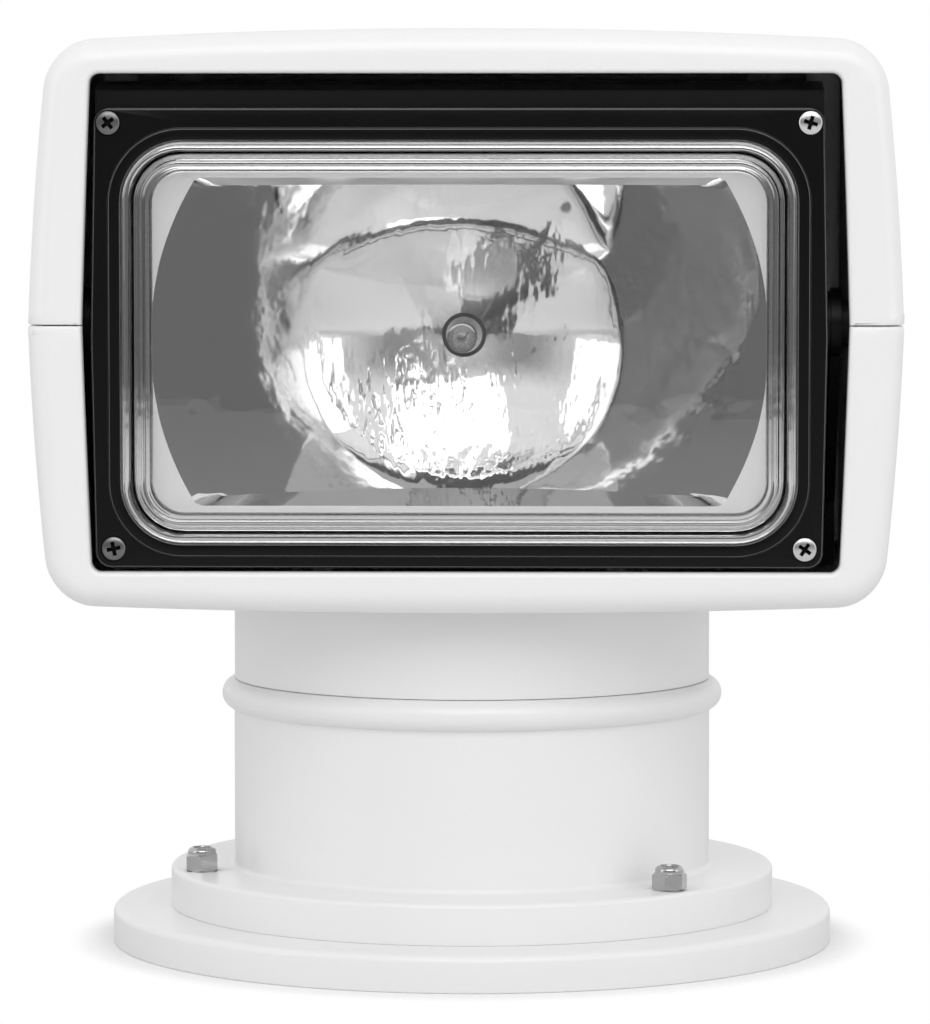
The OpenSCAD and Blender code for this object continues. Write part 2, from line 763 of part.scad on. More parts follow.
module trunnion_bushes() color("ivory") {
    outer_r = trunnion_d / 2 + running_gap + trunnion_bush_wall;
    out = 2;
    for (side = [0, 1]) translate([lamp_x, 0, 0]) mirror([side, 0, 0]) difference() {
        union() {
            along_x(yoke_x - trunnion_flange_t, trunnion_flange_t) translate([tilt_y, tilt_z])
                circle(bush_flange_d / 2);
            along_x(yoke_x - eps, yoke_t + out) translate([tilt_y, tilt_z]) circle(outer_r);
        }
        along_x(0, 2 * yoke_x) translate([tilt_y, tilt_z]) circle(trunnion_d / 2 + running_gap);
    }
}
module trunnion_pins() color("silver") {
    for (side = [0, 1]) translate([lamp_x, 0, 0]) mirror([side, 0, 0]) {
        head_x = cheek_x - cheek_t - (side == 0 ? sector_t : 0);
        along_x(head_x - eps, yoke_x + yoke_t + pin_end - head_x) translate([tilt_y, tilt_z])
            circle(trunnion_d / 2);
        along_x(head_x - pin_head_t, pin_head_t) translate([tilt_y, tilt_z]) circle(pin_head_r);
    }
}

// Tilt drive
bracket_half_w = tilt_motor_d / 2;
bracket_foot = 26;
bracket_screw_inset = 5;
motor_screw_depth = 6;
bracket_screw_places = [for (side = [-1, 1])
    [bracket_x - bracket_foot / 2, tilt_motor_y + side * (bracket_half_w - bracket_screw_inset)]];
module tilt_motor() color("gray") {
    boss_l = bracket_t + 1;
    translate([bracket_x, tilt_motor_y, tilt_z]) rotate([0, 90, 0]) difference() {
        union() {
            rod(tilt_motor_d / 2, -tilt_motor_l, 0);
            rod(motor_boss_r, -eps, boss_l);
        }
        rod(motor_shaft_d / 2 + running_gap, -tilt_motor_l / 2, boss_l + 1);
        at_each(around(2, 2 * motor_screw_r))
            rod(motor_screw_d / 2 + seat_gap, -motor_screw_depth, 1);
    }
}
module tilt_motor_bracket() color("silver") {
    difference() {
        union() {
            along_x(bracket_x, bracket_t) translate([tilt_motor_y - bracket_half_w, seat_z])
                square([2 * bracket_half_w, tilt_z - seat_z]);
            along_x(bracket_x, bracket_t) translate([tilt_motor_y, tilt_z]) circle(bracket_half_w);
            translate([bracket_x - bracket_foot, tilt_motor_y - bracket_half_w, seat_z])
                cube([bracket_foot + eps, 2 * bracket_half_w, bracket_t]);
        }
        along_x(bracket_x - 1, bracket_t + 2) translate([tilt_motor_y, tilt_z]) {
            circle(motor_boss_r + screw_gap);
            for (p = around(2, 2 * motor_screw_r, 90)) translate(p) circle(motor_screw_d / 2 + screw_gap);
        }
        at_each(bracket_screw_places) rod(yoke_screw_d / 2 + screw_gap, 0, part_z);
    }
}
module tilt_motor_screws() color("silver") {
    translate([bracket_x + bracket_t, tilt_motor_y, tilt_z]) rotate([0, 90, 0])
        at_each(around(2, 2 * motor_screw_r))
            screw(motor_screw_d, bracket_t + motor_screw_grip, 1.5, head_d(motor_screw_d));
}
module bracket_screws() color("silver") {
    at_each(bracket_screw_places) translate([0, 0, seat_z + bracket_t])
        screw(yoke_screw_d, bracket_t + yoke_screw_grip, yoke_screw_head_t, head_d(yoke_screw_d));
}
module tilt_pinion() color("gold") {
    along_x(sector_x - 0.5, sector_t + 1) translate([tilt_motor_y, tilt_z])
        rotate(180 + 180 / tilt_pinion_teeth) gear(tilt_pinion_teeth);
    along_x(bracket_x - tilt_motor_l / 2 + 1, sector_x - bracket_x + tilt_motor_l / 2 - 1)
        translate([tilt_motor_y, tilt_z]) circle(motor_shaft_d / 2);
}
module tilt_sector() color("ivory") {
    pitch = 360 / sector_teeth;
    reach = floor(sector_half_angle / pitch);
    rim_r = gear_module * sector_teeth / 2 - sector_web;
    hub_wall_t = 4;
    hub_r = sector_screw_r + hub_wall_t;
    hub_front = trunnion_d / 2 + hub_wall_t;
    along_x(sector_x, sector_t) translate([tilt_y, tilt_z]) difference() {
        union() {
            polygon(concat([for (i = [-reach : reach]) each tooth(i * pitch, sector_teeth)],
                           [[0, hub_r], [0, -hub_r]]));
            intersection() {
                circle(hub_r);
                translate([-hub_front, -hub_r]) square([hub_r + hub_front, 2 * hub_r]);
            }
        }
        polygon([for (a = [-1, 1]) hub_r * 1.4 * [cos(a * 22), sin(a * 22)],
                 for (a = [22 : -11 : -22]) rim_r * [cos(a), sin(a)]]);
        circle(trunnion_d / 2 + seat_gap);
        for (p = around(2, 2 * sector_screw_r, 90)) translate(p) circle(sector_screw_d / 2 + screw_gap);
    }
}
module sector_screws() color("silver") {
    translate([sector_x, tilt_y, tilt_z]) rotate([0, -90, 0])
        at_each(around(2, 2 * sector_screw_r))
            screw(sector_screw_d, sector_t + cheek_t, 1.8, head_d(sector_screw_d));
}

// Lamp
module drum_side(r) {
    intersection() {
        translate([tilt_y, tilt_z]) circle(r);
        translate([tilt_y - carrier_front, tilt_z - drum_r])
            square([carrier_front + carrier_reach, 2 * drum_r]);
    }
}
module lamp_carrier() color("black") {
    difference() {
        union() {
            along_x(lamp_x - cheek_x, 2 * cheek_x) difference() {
                drum_side(drum_r);
                translate([tilt_y, tilt_z]) circle(drum_r - carrier_wall);
            }
            for (side = [-1, 1])
                along_x(lamp_x + side * cheek_x - (side > 0 ? cheek_t : 0), cheek_t) drum_side(drum_r);
            along_x(lamp_x - cheek_x, 2 * cheek_x) intersection() {
                drum_side(drum_r);
                translate([tilt_y - carrier_front, 0]) square([plate_front_t, 2 * tilt_z]);
            }
        }
        lamp_slab(carrier_back - 1, carrier_front + 1, lamp_z)
            frame_outline(lens_w + 2 * (lens_lip + lens_gap), lens_h + 2 * (lens_lip + lens_gap),
                          lens_corner_r + lens_lip);
        along_x(lamp_x - 2 * cheek_x, 4 * cheek_x) translate([tilt_y, tilt_z])
            circle(trunnion_d / 2 + seat_gap);
        translate([sector_x, tilt_y, tilt_z]) rotate([0, 90, 0])
            at_each(around(2, 2 * sector_screw_r))
                rod(sector_screw_d / 2 + seat_gap, 0, 2 * cheek_t + sector_t);
        on_bezel_screws() rod(bezel_screw_d / 2 + seat_gap, -bezel_t - plate_front_t - 1, 1);
    }
}
module on_bezel_screws() {
    for (side = [-1, 1], place = [bezel_screw_top, bezel_screw_bottom])
        translate([lamp_x + side * place.x, tilt_y - bezel_front, bezel_mid + place.y])
            rotate([90, 0, 0]) children();
}
module bezel() color("black") {
    difference() {
        union() {
            lamp_slab(bezel_back, bezel_front, bezel_mid)
                polygon([for (p = rounded([bezel_w / 2, bezel_h / 2], bezel_corner_r))
                    barrel(p, bezel_draft, 0, 0)]);
            lamp_slab(bezel_front - eps, bezel_front + lip_t, lamp_z)
                frame_outline(lens_w + 2 * (lens_gap + lip_w), lens_h + 2 * (lens_gap + lip_w),
                              lens_corner_r + lip_w);
        }
        lamp_slab(bezel_back - 1, bezel_front + lip_t + 1, lamp_z)
            frame_outline(lens_w + 2 * lens_gap, lens_h + 2 * lens_gap, lens_corner_r);
        on_bezel_screws() {
            rod(bezel_screw_d / 2 + screw_gap, -bezel_t - 1, 1);
            rod(bezel_screw_head_d / 2 + screw_gap, -bezel_screw_sink, 1);
        }
    }
}
module bezel_screws() color("silver") {
    short_of_back = 0.3;
    on_bezel_screws() translate([0, 0, -bezel_screw_sink])
        screw(bezel_screw_d, bezel_t + plate_front_t - bezel_screw_sink - short_of_back,
              bezel_screw_sink + bezel_screw_proud, bezel_screw_head_d);
}
module lens_gasket() color("dimgray") {
    lamp_slab(lens_lip_front + seat_gap, carrier_front, lamp_z) difference() {
        frame_outline(lens_w + 2 * lens_lip, lens_h + 2 * lens_lip, lens_corner_r + lens_lip);
        frame_outline(lens_w + 2 * seat_gap, lens_h + 2 * seat_gap, lens_corner_r);
    }
}
module lens() color("aliceblue", 0.5) {
    step = 1.2;
    difference() {
        union() {
            lamp_slab(carrier_back, lens_lip_front, lamp_z)
                frame_outline(lens_w + 2 * lens_lip, lens_h + 2 * lens_lip, lens_corner_r + lens_lip);
            lamp_slab(carrier_back, lens_front - step, lamp_z) frame_outline(lens_w, lens_h, lens_corner_r);
            lamp_slab(carrier_back, lens_front, lamp_z)
                frame_outline(lens_w - 2 * step, lens_h - 2 * step, lens_corner_r - step);
        }
        lamp_slab(carrier_back - 1, lens_front - lens_t, lamp_z)
            frame_outline(lens_w - 2 * lens_edge, lens_h - 2 * lens_edge, lens_corner_r - lens_edge / 2);
    }
}
// The bowl is a solid of revolution of a parabola, cut level above and below
module mirror_bowl(wall) {
    steps = 14;
    rows = [for (i = [0 : steps]) mirror_r * i / steps];
    rotate_extrude() polygon(concat(
        [for (r = rows) [r + (r > 0 ? wall / 2 : 0), mirror_depth * pow(r / mirror_r, 2) - wall]],
        [[mirror_r + wall / 2, mirror_depth + eps], [0, mirror_depth + eps]]));
}
module mirror_chord(wall, front) {
    h = mirror_h + 2 * wall;
    translate([-lens_w, -h / 2, -mirror_depth]) cube([2 * lens_w, h, mirror_depth + front]);
}
module reflector() color("gainsboro") {
    side_room = 0.5;
    difference() {
        union() {
            on_lamp(mirror_back) intersection() {
                mirror_bowl(mirror_wall);
                mirror_chord(mirror_wall, mirror_depth);
            }
            lamp_slab(carrier_back - mirror_flange_t, carrier_back, lamp_z)
                frame_outline(carrier_w - 2 * (cheek_t + side_room), lens_h + 2 * lens_lip, lens_corner_r);
        }
        on_lamp(mirror_back) intersection() {
            mirror_bowl(0);
            mirror_chord(0, mirror_depth + 1);
        }
        on_lamp(mirror_back) rod(bulb_hole_r, -mirror_wall - 1, 4);
    }
}
module bulb_holder() color("dimgray") {
    on_lamp(mirror_back - mirror_wall) difference() {
        union() {
            rod(holder_flange_r, -holder_flange_t, 0);
            rod(holder_r, -holder_l, -holder_flange_t + eps);
        }
        rod(bulb_collar_r, -holder_l + holder_end_t, 1);
    }
}
module bulb() color("aliceblue", 0.6) {
    on_lamp(mirror_back - mirror_wall) {
        rod(bulb_collar_r - seat_gap, -holder_l + holder_end_t, bulb_collar_t);
        rotate_extrude() {
            square([bulb_d / 2, bulb_l - bulb_d / 2]);
            translate([0, bulb_l - bulb_d / 2]) intersection() {
                circle(bulb_d / 2);
                square(bulb_d);
            }
        }
    }
}
module bulb_clip() color("silver") {
    ear = 4;
    ear_hole_r = 1.5;
    under = holder_flange_t + clip_wire;
    on_lamp(mirror_back - mirror_wall - under) linear_extrude(clip_wire) difference() {
        frame_outline(2 * (holder_flange_r + ear), 2 * holder_flange_r - 6, 5);
        circle(holder_r + seat_gap);
        for (side = [-1, 1]) translate([side * (holder_flange_r + ear / 4), 0]) circle(ear_hole_r);
    }
}

mounting_plate();
cable_grommet();
base_gasket();
base_housing();
mounting_studs();
stud_nuts();
pan_bush();
thrust_washer();
pan_motor();
pan_motor_screws();
pan_pinion();
pan_gear();
pan_shaft();
pan_retaining_ring();
shaft_screws();
neck();
neck_screws();
lower_shell();
upper_shell();
shell_seal();
shell_screws();
yoke();
yoke_screws();
trunnion_bushes();
tilt_motor();
tilt_motor_bracket();
tilt_motor_screws();
bracket_screws();
tilt_pinion();
tilt_sector();
sector_screws();
trunnion_pins();
lamp_carrier();
bezel();
bezel_screws();
lens_gasket();
lens();
reflector();
bulb();
bulb_holder();
bulb_clip();
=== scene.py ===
"""Marine searchlight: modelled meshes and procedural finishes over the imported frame."""
from __future__ import annotations

import logging
import math
from dataclasses import dataclass, field
from enum import Enum
from typing import Any, Callable, Iterable, Sequence

import bmesh
import bpy
from mathutils import Matrix, Vector

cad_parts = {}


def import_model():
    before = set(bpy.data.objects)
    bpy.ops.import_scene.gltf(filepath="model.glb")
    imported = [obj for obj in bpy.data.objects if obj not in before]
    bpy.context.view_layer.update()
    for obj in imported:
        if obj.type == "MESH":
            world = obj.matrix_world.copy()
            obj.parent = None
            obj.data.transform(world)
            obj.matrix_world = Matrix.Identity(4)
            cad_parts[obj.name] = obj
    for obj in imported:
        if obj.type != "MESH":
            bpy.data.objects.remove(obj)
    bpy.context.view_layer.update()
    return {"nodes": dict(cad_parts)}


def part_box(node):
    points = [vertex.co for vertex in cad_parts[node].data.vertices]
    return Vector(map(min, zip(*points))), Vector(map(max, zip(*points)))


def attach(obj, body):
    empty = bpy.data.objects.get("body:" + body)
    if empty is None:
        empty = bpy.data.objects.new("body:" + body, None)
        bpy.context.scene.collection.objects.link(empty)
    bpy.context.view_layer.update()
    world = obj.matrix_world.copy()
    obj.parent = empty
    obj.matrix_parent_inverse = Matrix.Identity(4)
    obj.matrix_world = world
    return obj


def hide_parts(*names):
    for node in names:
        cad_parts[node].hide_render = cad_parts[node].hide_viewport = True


LOG = logging.getLogger("searchlight")
MM = 0.001
Point = tuple[float, float, float]
Flat = tuple[float, float]
Mesh = tuple[list, list]

# How far a cutting shape reaches past the face that it opens.
PAST = 1 * MM
# Faces round the large turned pieces.
ROUND_STEPS = 256
# Least sine or cosine that is divided by.
TINY = 1e-6


# Shader maths


class Value:
    """A number or a socket of a node tree that takes part in expressions."""

    def __init__(self, shader: "Shader", socket: Any) -> None:
        """Keep the socket and the shader that it belongs to."""
        self.shader = shader
        self.socket = socket

    def _math(self, operation: str, first: Any, second: Any = 0.0) -> "Value":
        """Add one Math node and return its result."""
        made = self.shader.node("ShaderNodeMath", {"operation": operation}, {0: first, 1: second})
        return Value(self.shader, made.outputs[0])

    def __add__(self, other: Any) -> "Value":
        """Sum of two values."""
        return self._math("ADD", self, other)

    __radd__ = __add__

    def __mul__(self, other: Any) -> "Value":
        """Product of two values."""
        return self._math("MULTIPLY", self, other)

    __rmul__ = __mul__

    def __sub__(self, other: Any) -> "Value":
        """Difference of two values."""
        return self._math("SUBTRACT", self, other)

    def __rsub__(self, other: Any) -> "Value":
        """Difference of two values, the other way round."""
        return self._math("SUBTRACT", other, self)

    def __pow__(self, other: Any) -> "Value":
        """Power of a value."""
        return self._math("POWER", self, other)

    def at_least(self, other: Any) -> "Value":
        """The larger of two values."""
        return self._math("MAXIMUM", self, other)

    def ease(self, low: float, high: float) -> "Value":
        """A smooth step.

        Args:
            low: value at which the step starts.
            high: value at which the step ends.

        Returns:
            0 below low, 1 above high and a smooth rise between.
        """
        made = self.shader.node(
            "ShaderNodeMapRange",
            {"interpolation_type": "SMOOTHSTEP"},
            {"Value": self, "From Min": low, "From Max": high, "To Min": 0.0, "To Max": 1.0},
        )
        return Value(self.shader, made.outputs["Result"])


class Shader:
    """A material's node tree, built with expressions."""

    def __init__(self, tree: bpy.types.NodeTree) -> None:
        """Take a node tree and empty it."""
        self.tree = tree
        tree.nodes.clear()

    def node(self, kind: str, settings: dict[str, Any] | None = None,
             inputs: dict[Any, Any] | None = None) -> bpy.types.Node:
        """Add a node.

        Args:
            kind: the node's type.
            settings: attributes, set first.
            inputs: values or links of its sockets, by name or number.

        Returns:
            The new node.
        """
        made = self.tree.nodes.new(kind)
        for name, value in (settings or {}).items():
            setattr(made, name, value)
        for name, value in (inputs or {}).items():
            socket = made.inputs[name]
            if isinstance(value, Value):
                value = value.socket
            if isinstance(value, bpy.types.NodeSocket):
                self.tree.links.new(value, socket)
            else:
                socket.default_value = value
        return made

    def place(self) -> bpy.types.NodeSocket:
        """Position in the object's own frame, which is the part's frame."""
        return self.node("ShaderNodeTexCoord").outputs["Object"]

    def axes(self, vector: Any) -> tuple[Value, Value, Value]:
        """Split a vector into its three values."""
        made = self.node("ShaderNodeSeparateXYZ", None, {0: vector})
        return tuple(Value(self, made.outputs[i]) for i in range(3))

    def noise(self, scale: float, detail: float, roughness: float, vector: Any = None) -> Value:
        """Smooth noise over the object's own frame.

        Args:
            scale: cycles to a metre.
            detail: number of octaves.
            roughness: share of each finer octave.
            vector: where to read it, or None for the object's frame.

        Returns:
            The noise, about 0.5 on average.
        """
        made = self.node("ShaderNodeTexNoise", None, {
            "Vector": vector or self.place(), "Scale": scale, "Detail": detail, "Roughness": roughness})
        return Value(self, made.outputs["Fac"])

    def mix(self, factor: Any, first: Any, second: Any) -> bpy.types.NodeSocket:
        """Mix two colours by a value."""
        made = self.node("ShaderNodeMix", {"data_type": "RGBA"}, {0: factor, 6: first, 7: second})
        return made.outputs[2]

    def stretch(self, vector: Any, scale: Point) -> bpy.types.NodeSocket:
        """Scale a vector by axis."""
        made = self.node("ShaderNodeVectorMath", {"operation": "MULTIPLY"}, {0: vector, 1: scale})
        return made.outputs[0]

    def bump(self, height: Any, depth: float) -> bpy.types.NodeSocket:
        """Turn a height into a normal, with a given depth in metres at height 1."""
        made = self.node("ShaderNodeBump", None, {"Strength": 1.0, "Distance": depth, "Height": height})
        return made.outputs["Normal"]

    def surface(self, inputs: dict[str, Any]) -> None:
        """Add the surface shader and join it to the output."""
        made = self.node("ShaderNodeBsdfPrincipled", None, inputs)
        self.node("ShaderNodeOutputMaterial", None, {"Surface": made.outputs["BSDF"]})


def grey(level: float) -> tuple[float, float, float, float]:
    """A neutral colour of one level."""
    return (level, level, level, 1.0)


# Finishes


@dataclass(frozen=True)
class Finish:
    """What every finish has: a name and a way to make its material once."""

    name: str

    def make(self) -> bpy.types.Material:
        """Make the material on first use.

        Returns:
            The material, the same one each time.
        """
        found = bpy.data.materials.get(self.name)
        if found:
            return found
        made = bpy.data.materials.new(self.name)
        made.use_nodes = True
        self.build(Shader(made.node_tree))
        return made

    def build(self, shader: Shader) -> None:
        """Fill the node tree.

        Args:
            shader: the node tree to fill.
        """
        raise NotImplementedError


@dataclass(frozen=True)
class MouldedPlastic(Finish):
    """Injection-moulded plastic: flow marks in its tone, smears in its gloss and fine orange peel."""

    level: float
    roughness: float
    peel: float = 0.02 * MM
    spread: float = 0.02
    coat: float = 0.0
    gloss: float = 0.5
    coat_roughness: float = 0.08
    index: float = 1.49
    flow_scale: float = 14.0
    speck_scale: float = 900.0
    speck_share: float = 0.3
    smear_scale: float = 35.0
    smear_swing: float = 0.36
    peel_scale: float = 700.0
    wave_scale: float = 180.0
    wave_share: float = 0.4

    def build(self, shader: Shader) -> None:
        """Mix two close greys by flow marks, and roughen by a finer noise.

        Args:
            shader: the node tree to fill.
        """
        flow = shader.noise(self.flow_scale, 4.0, 0.55)
        speck = shader.noise(self.speck_scale, 2.0, 0.5)
        tone = (flow * (1 - self.speck_share) + speck * self.speck_share).ease(0.3, 0.7)
        colour = shader.mix(tone, grey(self.level * (1 - self.spread)), grey(self.level))
        smear = shader.noise(self.smear_scale, 5.0, 0.6)
        rough = self.roughness * (1 - self.smear_swing / 2 + smear * self.smear_swing)
        fine = shader.noise(self.peel_scale, 2.0, 0.4)
        wave = shader.noise(self.wave_scale, 2.0, 0.4)
        peel = fine * (1 - self.wave_share) + wave * self.wave_share
        shader.surface({
            "Base Color": colour,
            "Roughness": rough,
            "Coat Weight": self.coat,
            "Coat Roughness": self.coat_roughness,
            "IOR": self.index,
            "Specular IOR Level": self.gloss,
            "Normal": shader.bump(peel, self.peel),
        })


@dataclass(frozen=True)
class ClearGlass(Finish):
    """Clear glass with faint moulding waves; it lets light through to what is behind it."""

    wave: float = 0.04 * MM
    wave_scale: float = 60.0
    index: float = 1.5
    shade: float = 0.97

    def build(self, shader: Shader) -> None:
        """Glass for what is seen, and nearly clear for shadows.

        Args:
            shader: the node tree to fill.
        """
        wave = shader.noise(self.wave_scale, 2.0, 0.5)
        glass = shader.node("ShaderNodeBsdfPrincipled", None, {
            "Base Color": grey(1.0), "Roughness": 0.0, "IOR": self.index, "Transmission Weight": 1.0,
            "Normal": shader.bump(wave, self.wave)})
        clear = shader.node("ShaderNodeBsdfTransparent", None, {"Color": grey(self.shade)})
        ray = shader.node("ShaderNodeLightPath")
        mixed = shader.node("ShaderNodeMixShader", None, {
            0: ray.outputs["Is Shadow Ray"], 1: glass.outputs["BSDF"], 2: clear.outputs["BSDF"]})
        shader.node("ShaderNodeOutputMaterial", None, {"Surface": mixed.outputs["Shader"]})


@dataclass(frozen=True)
class BareMetal(Finish):
    """Plain or plated metal with fine lines along one axis and worn, uneven gloss."""

    level: float
    roughness: float
    tint: Point = (1.0, 1.0, 1.0)
    line_scales: Point = (400.0, 400.0, 6000.0)
    line_depth: float = 0.004 * MM
    smear_scale: float = 120.0
    smear_swing: float = 0.5
    dulled: float = 0.8

    def build(self, shader: Shader) -> None:
        """Fine lines for the normal, smears for the gloss.

        Args:
            shader: the node tree to fill.
        """
        line = shader.noise(1.0, 3.0, 0.6, shader.stretch(shader.place(), self.line_scales))
        smear = shader.noise(self.smear_scale, 4.0, 0.6)
        bright = [self.level * t for t in self.tint]
        dull = [self.dulled * v for v in bright]
        colour = shader.mix(smear.ease(0.35, 0.75), (*bright, 1.0), (*dull, 1.0))
        shader.surface({
            "Base Color": colour,
            "Metallic": 1.0,
            "Roughness": self.roughness * (1 - self.smear_swing / 2 + smear * self.smear_swing),
            "Normal": shader.bump(line, self.line_depth),
        })


@dataclass(frozen=True)
class SilveredMirror(Finish):
    """Vapour-silvered mirror: the slow ripple of a pressed bowl, and runs of lacquer in its middle."""

    level: float = 0.93
    ripple: float = 0.16 * MM
    fine_share: float = 0.12
    run_share: float = 1.5
    node: str = "reflector"
    inner_r: float = 42 * MM
    inner_share: float = 0.85
    run_fade: Flat = (-14 * MM, 8 * MM)
    upper_runs: float = 0.25
    run_scales: Point = (110.0, 60.0, 45.0)
    slow_scale: float = 26.0
    fine_scale: float = 140.0
    haze_scale: float = 45.0
    hazed: float = 0.95

    def build(self, shader: Shader) -> None:
        """Ripple the normal, more so near the axis and below it, and haze the gloss.

        Args:
            shader: the node tree to fill.
        """
        axis = Box.of(self.node).middle
        x, _, z = shader.axes(shader.place())
        across, up = x - axis.x, z - axis.z
        radius = (across * across + up * up) ** 0.5
        inner = 1.0 - radius.ease(self.inner_r * self.inner_share, self.inner_r)
        below = 1.0 - up.ease(*self.run_fade)
        slow = shader.noise(self.slow_scale, 2.0, 0.5)
        fine = shader.noise(self.fine_scale, 2.0, 0.5)
        runs = shader.noise(1.0, 3.0, 0.55, shader.stretch(shader.place(), self.run_scales))
        haze = shader.noise(self.haze_scale, 3.0, 0.5)
        colour = shader.mix(haze, grey(self.level), grey(self.level * self.hazed))
        middle = inner * (self.upper_runs + below * (1 - self.upper_runs)) * runs
        height = slow + fine * self.fine_share + middle * self.run_share
        shader.surface({
            "Base Color": colour,
            "Metallic": 1.0,
            "Roughness": 0.02 + haze * 0.03,
            "Normal": shader.bump(height, self.ripple),
        })


@dataclass(frozen=True)
class SoftRubber(Finish):
    """Matt rubber with a bloom of dust."""

    level: float = 0.03
    bloomed: float = 1.8
    bloom_scale: float = 60.0
    grain_scale: float = 1500.0
    grain: float = 0.02 * MM

    def build(self, shader: Shader) -> None:
        """Bloom over a dark base.

        Args:
            shader: the node tree to fill.
        """
        bloom = shader.noise(self.bloom_scale, 5.0, 0.6).ease(0.45, 0.75)
        colour = shader.mix(bloom, grey(self.level), grey(self.level * self.bloomed))
        shader.surface({
            "Base Color": colour,
            "Roughness": 0.7 + bloom * 0.2,
            "Normal": shader.bump(shader.noise(self.grain_scale, 2.0, 0.5), self.grain),
        })


@dataclass(frozen=True)
class FloorPaper(Finish):
    """Pale paper that keeps the shadow near the light and turns white further away."""

    paper: float = 0.94
    bounce: float = 0.77
    shadow_from: float = 95.5 * MM
    shadow_to: float = 108 * MM

    def build(self, shader: Shader) -> None:
        """Mix paper and plain white by the distance from the light's axis.

        Args:
            shader: the node tree to fill.
        """
        x, y, _ = shader.axes(shader.place())
        away = ((x * x + y * y) ** 0.5).ease(self.shadow_from, self.shadow_to)
        ray = shader.node("ShaderNodeLightPath")
        seen = Value(shader, ray.outputs["Is Camera Ray"]) * away
        colour = shader.mix(ray.outputs["Is Camera Ray"], grey(self.bounce), grey(self.paper))
        paper = shader.node("ShaderNodeBsdfDiffuse", None, {"Color": colour})
        white = shader.node("ShaderNodeEmission", None, {"Color": grey(1.0), "Strength": 1.0})
        mixed = shader.node("ShaderNodeMixShader", None, {0: seen, 1: paper.outputs[0], 2: white.outputs[0]})
        shader.node("ShaderNodeOutputMaterial", None, {"Surface": mixed.outputs[0]})


class Finishes(Enum):
    """The finishes of the light and its floor, by the piece that they are on."""

    WHITE = MouldedPlastic("white_shell_plastic", 0.86, 0.32, coat=0.15)
    BLACK = MouldedPlastic("black_satin_plastic", 0.004, 0.24, spread=0.25, gloss=0.17)
    # Lighter black for the bezel's rounded edges: a painted highlight. Its coat and gloss are real.
    PAINTED_EDGE_HIGHLIGHT = MouldedPlastic("black_edge_painted_highlight", 0.06, 0.14, peel=0.01 * MM, spread=0.25, coat=1.0, gloss=1.0)
    CARRIER = MouldedPlastic("black_carrier_plastic", 0.003, 0.42, peel=0.04 * MM, spread=0.25, gloss=0.2)
    IVORY = MouldedPlastic("ivory_bearing_plastic", 0.72, 0.45)
    HOLDER = MouldedPlastic("heat_proof_plastic", 0.24, 0.5)
    PAINTED = MouldedPlastic("black_painted_steel", 0.004, 0.38, spread=0.3, gloss=0.25)
    DARK = MouldedPlastic("dark_bearing_plastic", 0.008, 0.45, spread=0.3, gloss=0.3)
    LENS = ClearGlass("clear_lens_glass")
    BULB = ClearGlass("clear_bulb_glass", wave=0.01 * MM)
    MIRROR = SilveredMirror("silvered_reflector")
    FLANGE = MouldedPlastic("frosted_flange", 0.93, 0.35)
    BORDER = SilveredMirror("silvered_border", level=0.68)
    STEEL = BareMetal("plain_steel", 0.62, 0.32)
    NUT = BareMetal("stainless_nut", 0.48, 0.11)
    SCREW = BareMetal("plated_screw", 0.72, 0.24)
    # A darker copy of the screw plating for the left screws: painted shade.
    SHADED_LEFT_SCREW = BareMetal("screw_painted_shade", 0.21, 0.28)
    # Near-black metal for the inside of the screws' cross recesses: painted shade.
    PAINTED_RECESS_SHADE = BareMetal("recess_painted_shade", 0.015, 0.6)
    SPRING = BareMetal("blackened_spring_steel", 0.12, 0.4)
    MOTOR = BareMetal("motor_can", 0.36, 0.38)
    BRASS = BareMetal("turned_brass", 0.75, 0.28, tint=(1.0, 0.78, 0.42))
    RUBBER = SoftRubber("seal_rubber")
    FLOOR = FloorPaper("pale_floor")

    def material(self) -> bpy.types.Material:
        """The finish's material."""
        return self.value.make()


# Meshes


def rounded_rectangle(half_w: float, half_h: float, r: float, arc: int = 10, side: int = 24) -> list[Flat]:
    """Outline of a rounded rectangle, from its right side round over the top.

    Args:
        half_w: half of the width.
        half_h: half of the height.
        r: radius of the corners.
        arc: steps of a corner.
        side: steps of a straight stretch.

    Returns:
        Points in order, against the clock.
    """
    points = []
    for corner in range(4):
        a = math.radians(90 * corner)
        w, h = (half_w, half_h) if corner % 2 == 0 else (half_h, half_w)
        for i in range(arc + side):
            b = math.radians(90 * min(i, arc) / arc)
            k = max(i - arc, 0) / side
            x = (w - r) * (1 - 2 * k) + r * math.cos(b)
            y = h - r + r * math.sin(b)
            points.append((x * math.cos(a) - y * math.sin(a), x * math.sin(a) + y * math.cos(a)))
    return points


def filleted(corners: Sequence[Point], steps: int = 6) -> list[Flat]:
    """Round the corners of a closed outline.

    Args:
        corners: places and fillet radii, in order.
        steps: steps of a fillet.

    Returns:
        Points of the rounded outline.
    """
    points: list[Flat] = []
    count = len(corners)
    for i, (x, y, r) in enumerate(corners):
        here = Vector((x, y))
        if r <= 0:
            points.append((x, y))
            continue
        before = (Vector(corners[i - 1][:2]) - here).normalized()
        after = (Vector(corners[(i + 1) % count][:2]) - here).normalized()
        half = before.angle(after) / 2
        reach = r / math.tan(half)
        middle = here + (before + after).normalized() * (r / math.sin(half))
        start = here + before * reach - middle
        end = here + after * reach - middle
        turn = start.angle_signed(end)
        for k in range(steps + 1):
            arm = start.copy()
            arm.rotate(Matrix.Rotation(-turn * k / steps, 2))
            points.append(tuple(middle + arm))
    return points


